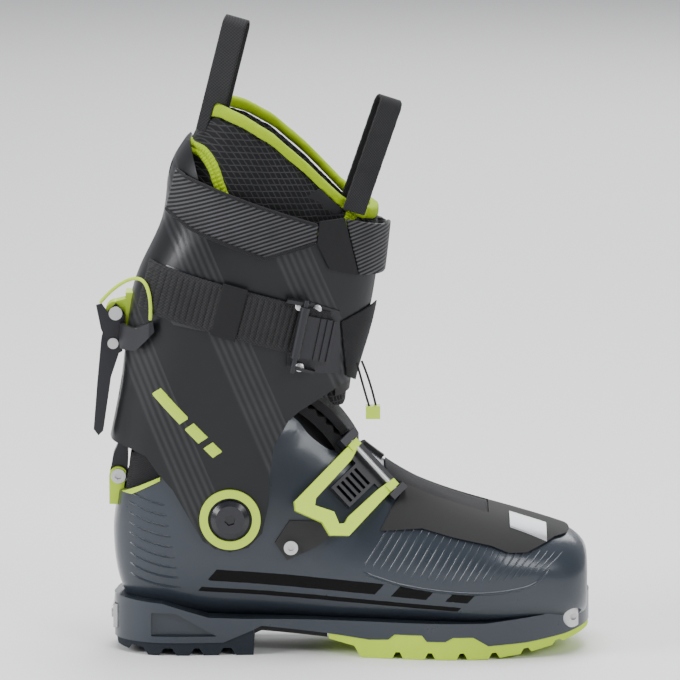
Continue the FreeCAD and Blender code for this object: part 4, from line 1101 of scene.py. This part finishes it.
@dataclass
class Cuff:
    """The upper shell and the parts fixed on it: pivots, rear bracket and shin plate.

    Attributes:
        dashes: corners of the plain lime bars in side view, in millimetres.
        rivets: places of the small rivets of the strap buckle in side view, in millimetres.
    """

    dashes: tuple[tuple[tuple[float, float], ...], ...] = (
        ((-119.5, 166.5), (-101, 148), (-95, 152), (-113.5, 170.5)),
        ((-98, 145), (-89, 136), (-83, 140), (-92, 149)),
        ((-86, 133), (-80, 127), (-74, 131), (-80, 137)))
    rivets: tuple[tuple[float, float], ...] = ((-26.0, 224.0), (-15.0, 221.5), (-26.0, 185.0))

    def rivet(self, name: str, spot: tuple[float, float], radius: float = 0.0027) -> None:
        """A low domed rivet head: height falls with the square of the distance from its middle.

        Args:
            name: piece name.
            spot: its place in side view, in millimetres.
            radius: radius of the head in metres.
        """
        rings, sides = 6, 24
        r = np.linspace(0.02, 1.0, rings)[:, None]
        angle = np.linspace(0.0, 2.0 * np.pi, sides, endpoint=False)[None, :]
        x = spot[0] + radius / MM * r * np.cos(angle)
        z = spot[1] + radius / MM * r * np.sin(angle)
        base = snapped(CUFF_SKIN.beside(x, z, -1.0, 4.5), "strap_buckle_frame")
        y_top = float(base[..., 1].min())
        height = 0.0011 * np.sqrt(np.clip(1.0 - 0.85 * r**2, 0.0, 1.0)) + 0.0 * angle
        top = np.stack([x * MM, np.full_like(x, y_top) - height, z * MM], -1)
        low = top[-1:].copy()
        low[..., 1] = y_top + 0.0014
        grid = np.concatenate([top, low])
        points = np.concatenate([grid.reshape(-1, 3), [[spot[0] * MM, y_top - 0.0011, spot[1] * MM]],
                                 [[spot[0] * MM, y_top + 0.0014, spot[1] * MM]]])
        inner = np.arange(sides)
        count = len(grid) * sides
        after = (inner + 1) % sides
        fan = np.stack([np.full(sides, count), inner, after, after], -1)[:, :3]
        end = np.stack([np.full(sides, count + 1), after + count - sides, inner + count - sides], -1)
        mesh = bpy.data.meshes.new(name)
        mesh.from_pydata(points.tolist(), [], grid_faces(rings + 1, sides, wrap=True).tolist() + fan.tolist()
                         + end.tolist())
        mesh.polygons.foreach_set("use_smooth", np.ones(len(mesh.polygons), bool))
        mesh.materials.append(STEEL.make())
        obj = bpy.data.objects.new(name, mesh)
        bpy.context.scene.collection.objects.link(obj)
        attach(obj, "cuff")
        face_outward(obj)

    def build(self) -> None:
        """Dresses the moulded parts."""
        dress("cuff_shell", CUFF_PLASTIC)
        for i, corners in enumerate(self.dashes):
            skin = on_node("cuff_shell", CUFF_SKIN, corners, 8, 20)
            layer_piece(f"cuff_dash_{i + 1}", skin, -0.0006, 0.0003 * rounded_edge(8, 20, 0.2), LIME_PLASTIC, "cuff",
                        out=(0, -1, 0))
        for i, spot in enumerate(self.rivets):
            self.rivet(f"cuff_rivet_{i + 1}", spot)
        dress("shin_plate", BLACK_PLASTIC)
        dress("pivot_rings", LIME_PLASTIC)
        dress("pivot_bolts", GLOSS_BLACK)
        dress("spine_bracket", LIME_METAL)
        dress("lever_rivet", STEEL)
        log.info("cuff: shell, shin plate, pivots and bracket")


@dataclass
class Straps:
    """Webbing strap with its latch, power strap and pull loops."""

    def build(self) -> None:
        """Makes the woven parts from remeshed copies and dresses the rest."""
        dress("strap_guide", GLOSS_BLACK)
        dress("strap_buckle_frame", BLACK_METAL)
        dress("strap_latch", BLACK_METAL)
        soft_form("strap_keeper", "keeper_loop", PLAIN_RUBBER, 0.0006, 2)
        dress("power_strap_tab", PLAIN_RUBBER)
        soft_form("strap_webbing", "webbing_band", WEBBING_SOLID, 0.0007, 2)
        self.webbing_ribs()
        self.strap_piping()
        soft_form("power_strap", "power_band", STRAP_CLOTH, 0.0008, 3)
        soft_form("power_strap_front", "power_band_front", STRAP_CLOTH, 0.0008, 3)
        soft_form("front_flap", "flap_cloth", LINER_CLOTH, 0.0006, 2)
        soft_form("rear_pull_loop", "rear_loop_band", WEBBING_SOLID, 0.0006, 2)
        soft_form("front_pull_loop", "front_loop_band", WEBBING_SOLID, 0.0006, 2)
        log.info("straps: webbing, power strap and pull loops")

    def webbing_ribs(self) -> None:
        """Cross ribs of the coarse webbing: its height is the square root of a rectified sine along the strap."""
        rows, cols = 20, 300
        corners = ((-126.0, 220.8), (-15.0, 190.8), (-8.0, 217.6), (-118.6, 248.2))
        skin = on_node("strap_webbing", CUFF_SKIN, corners, rows, cols, lift=6.0)
        u = np.linspace(0.0, 1.0, cols)[None, :]
        v = np.linspace(0.0, 1.0, rows)[:, None]
        rib = np.sqrt(np.abs(np.sin(u * np.pi * 31.0)))
        stitch = 0.86 + 0.14 * np.sin(v * np.pi * 22.0)
        rise = 0.0011 * rib * stitch * rounded_edge(rows, cols, 0.06) - 0.0001
        layer_piece("webbing_ribs", skin, -0.0006, rise, WEBBING_SOLID, "cuff", out=(0, -1, 0))

    def strap_piping(self) -> None:
        """Round piping sewn along both edges of the power strap, a tube that follows the strap's outer face."""
        for name, line in (
                ("piping_low", [(-109, 281), (-93, 271), (-72, 261.5), (-48, 254), (-31, 258), (-16, 263)]),
                ("piping_high", [(-103, 305.5), (-80, 297), (-57, 288.5), (-36, 281.5), (-14.5, 274.5)])):
            mid = curve_through(line, 90)
            path = snapped(CUFF_SKIN.beside(mid[:, 0], mid[:, 1], -1.0, 5.0), "power_strap")
            path[:, 1] -= 0.0002
            tube(name, path, 0.0011, LINER_CLOTH, "cuff")


@dataclass
class WalkLever:
    """Rear lever, its yoke, the lean bar and their fixings."""

    def build(self) -> None:
        """Dresses the metal parts."""
        dress("lock_lever", BLACK_METAL)
        dress("lever_yoke", BLACK_METAL)
        dress("yoke_rivet", STEEL)
        dress("lean_lock_bar", BLACK_METAL)
        dress("lean_lock_anchor", LIME_METAL)
        dress("anchor_screw", STEEL)
        log.info("walk lever: lever, yoke, bar and anchor")


@dataclass
class Instep:
    """Rubber shield, textile panel, badge, buckle and ladder strap over the instep.

    Attributes:
        axis: the ankle axis in side view, in millimetres.
        fold_inner: radius of the bellows' inner side about the axis.
        fold_outer: radius of its outer side without the folds.
    """

    axis: tuple[float, float] = (-69.4, 88.0)
    fold_inner: float = 77.0
    fold_outer: float = 85.2
    fold_half: float = 23.6

    def bellows(self) -> None:
        """Folded cloth behind the gaiter, on a circle about the ankle axis.

        Its outer radius is the plain one less a shallow sine along the arc; its ends and sides are closed.
        """
        rows, cols = 14, 90
        angle = np.radians(np.linspace(27.0, 66.0, cols))[None, :]
        y = np.linspace(-self.fold_half, self.fold_half, rows)[:, None]
        ease = 0.9 * (y / self.fold_half) ** 6
        outer = self.fold_outer - 1.0 + 0.9 * np.cos(angle * 70.0) - ease
        inner = np.full_like(outer, self.fold_inner)
        layers = []
        for radius in (outer, inner):
            x = self.axis[0] + radius * np.cos(angle)
            z = self.axis[1] + radius * np.sin(angle)
            layers.append(np.stack([x, y + 0.0 * angle, z], -1).reshape(-1, 3) * MM)
        faces = np.concatenate([grid_faces(rows, cols, flip=True), grid_faces(rows, cols, offset=rows * cols),
                                rim_faces(rows, cols)])
        obj = mesh_piece("ankle_bellows", np.concatenate(layers), faces, None, LINER_CLOTH, "lower_boot")
        face_outward(obj)

    def build(self) -> None:
        """Dresses the fixed parts and makes the soft ones."""
        dress("instep_shield", BLACK_RUBBER)
        soft_form("instep_fabric", "instep_cloth", LINER_CLOTH, 0.0007, 2)
        soft_form("throat_gaiter", "gaiter_cloth", LINER_CLOTH, 0.0012, 3)
        dress("toe_badge", BADGE)
        dress("instep_base_plate", BLACK_PLASTIC)
        dress("instep_base_screw", STEEL)
        dress("ratchet_housing", BLACK_METAL)
        dress("ratchet_plate", BLACK_METAL)
        dress("ladder_strap", BLACK_PLASTIC)
        dress("ladder_anchor", BLACK_PLASTIC)
        dress("instep_lever", LIME_METAL)
        dress("instep_lever_pin", STEEL)
        self.bellows()
        log.info("instep: shield, panel, badge, buckle and ladder strap")


@dataclass
class Cords:
    """The walk lever's cord and the toggle's pull cords, in millimetres as routed."""

    tension: tuple[tuple[float, float, float], ...] = (
        (-150.5, -11.5, 219.5), (-142, -19, 231), (-124.5, -33.1, 241), (-117.5, -40.3, 228.5),
        (-118.5, -40.3, 213.4))
    pulls: tuple[tuple[tuple[float, float, float], ...], ...] = (
        ((9.5, -36.5, 186), (13, -33.5, 172), (17.5, -28.5, 156)),
        ((12.5, -35.5, 187), (18.5, -31.5, 172), (21.5, -25.5, 156)))

    def line(self, name: str, points: Sequence[Sequence[float]]) -> bpy.types.Object:
        """A NURBS curve with a route's points as its control points, not yet round."""
        data = bpy.data.curves.new(name, "CURVE")
        data.dimensions = "3D"
        line = data.splines.new("NURBS")
        line.points.add(len(points) - 1)
        flat = np.ones((len(points), 4), np.float32)
        flat[:, :3] = np.asarray(points, float) * MM
        line.points.foreach_set("co", flat.ravel())
        line.order_u = 3
        line.use_endpoint_u = True
        line.resolution_u = 12
        obj = bpy.data.objects.new(name, data)
        bpy.context.scene.collection.objects.link(obj)
        return obj

    def curve(self, name: str, points: Sequence[Sequence[float]], diameter: float, finish: Finish,
              body: str, node: str) -> bpy.types.Object:
        """A round cord along a route, which stands for a CAD node."""
        obj = self.line(name, points)
        obj.data.bevel_depth = diameter * 0.5
        obj.data.bevel_resolution = 4
        obj.data.use_fill_caps = True
        finished(obj, finish)
        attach(obj, body)
        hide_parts(node)
        return obj

    def path(self, points: Sequence[Sequence[float]]) -> Grid:
        """The points that a route's NURBS curve passes through, read from the curve itself."""
        guide = self.line("guide", points)
        graph = bpy.context.evaluated_depsgraph_get()
        mesh = bpy.data.meshes.new_from_object(guide.evaluated_get(graph))
        found = vertex_array(mesh)
        bpy.data.objects.remove(guide)
        bpy.data.meshes.remove(mesh)
        return found

    def build(self) -> None:
        route = self.path(self.tension)
        cord = tube("lever_cord", route, 0.0011, LIME_CORD, None)
        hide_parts("tension_cord")
        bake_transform(cord)
        for i, points in enumerate(self.pulls):
            pull = self.curve(f"toggle_cord_{i + 1}", points, 0.0014, BLACK_CORD, "cuff", f"pull_cord_{i + 1}")
        dress("cord_toggle", LIME_PLASTIC)
        log.info("cords: lever cord and two toggle cords")


BUILDERS = (LowerShell(), Sole(), Liner(), Cuff(), Straps(), WalkLever(), Instep(), Cords(), Studio())


def main() -> None:
    """Builds every sub-assembly in order."""
    for builder in BUILDERS:
        builder.build()


if __name__ == "__main__":
    main()
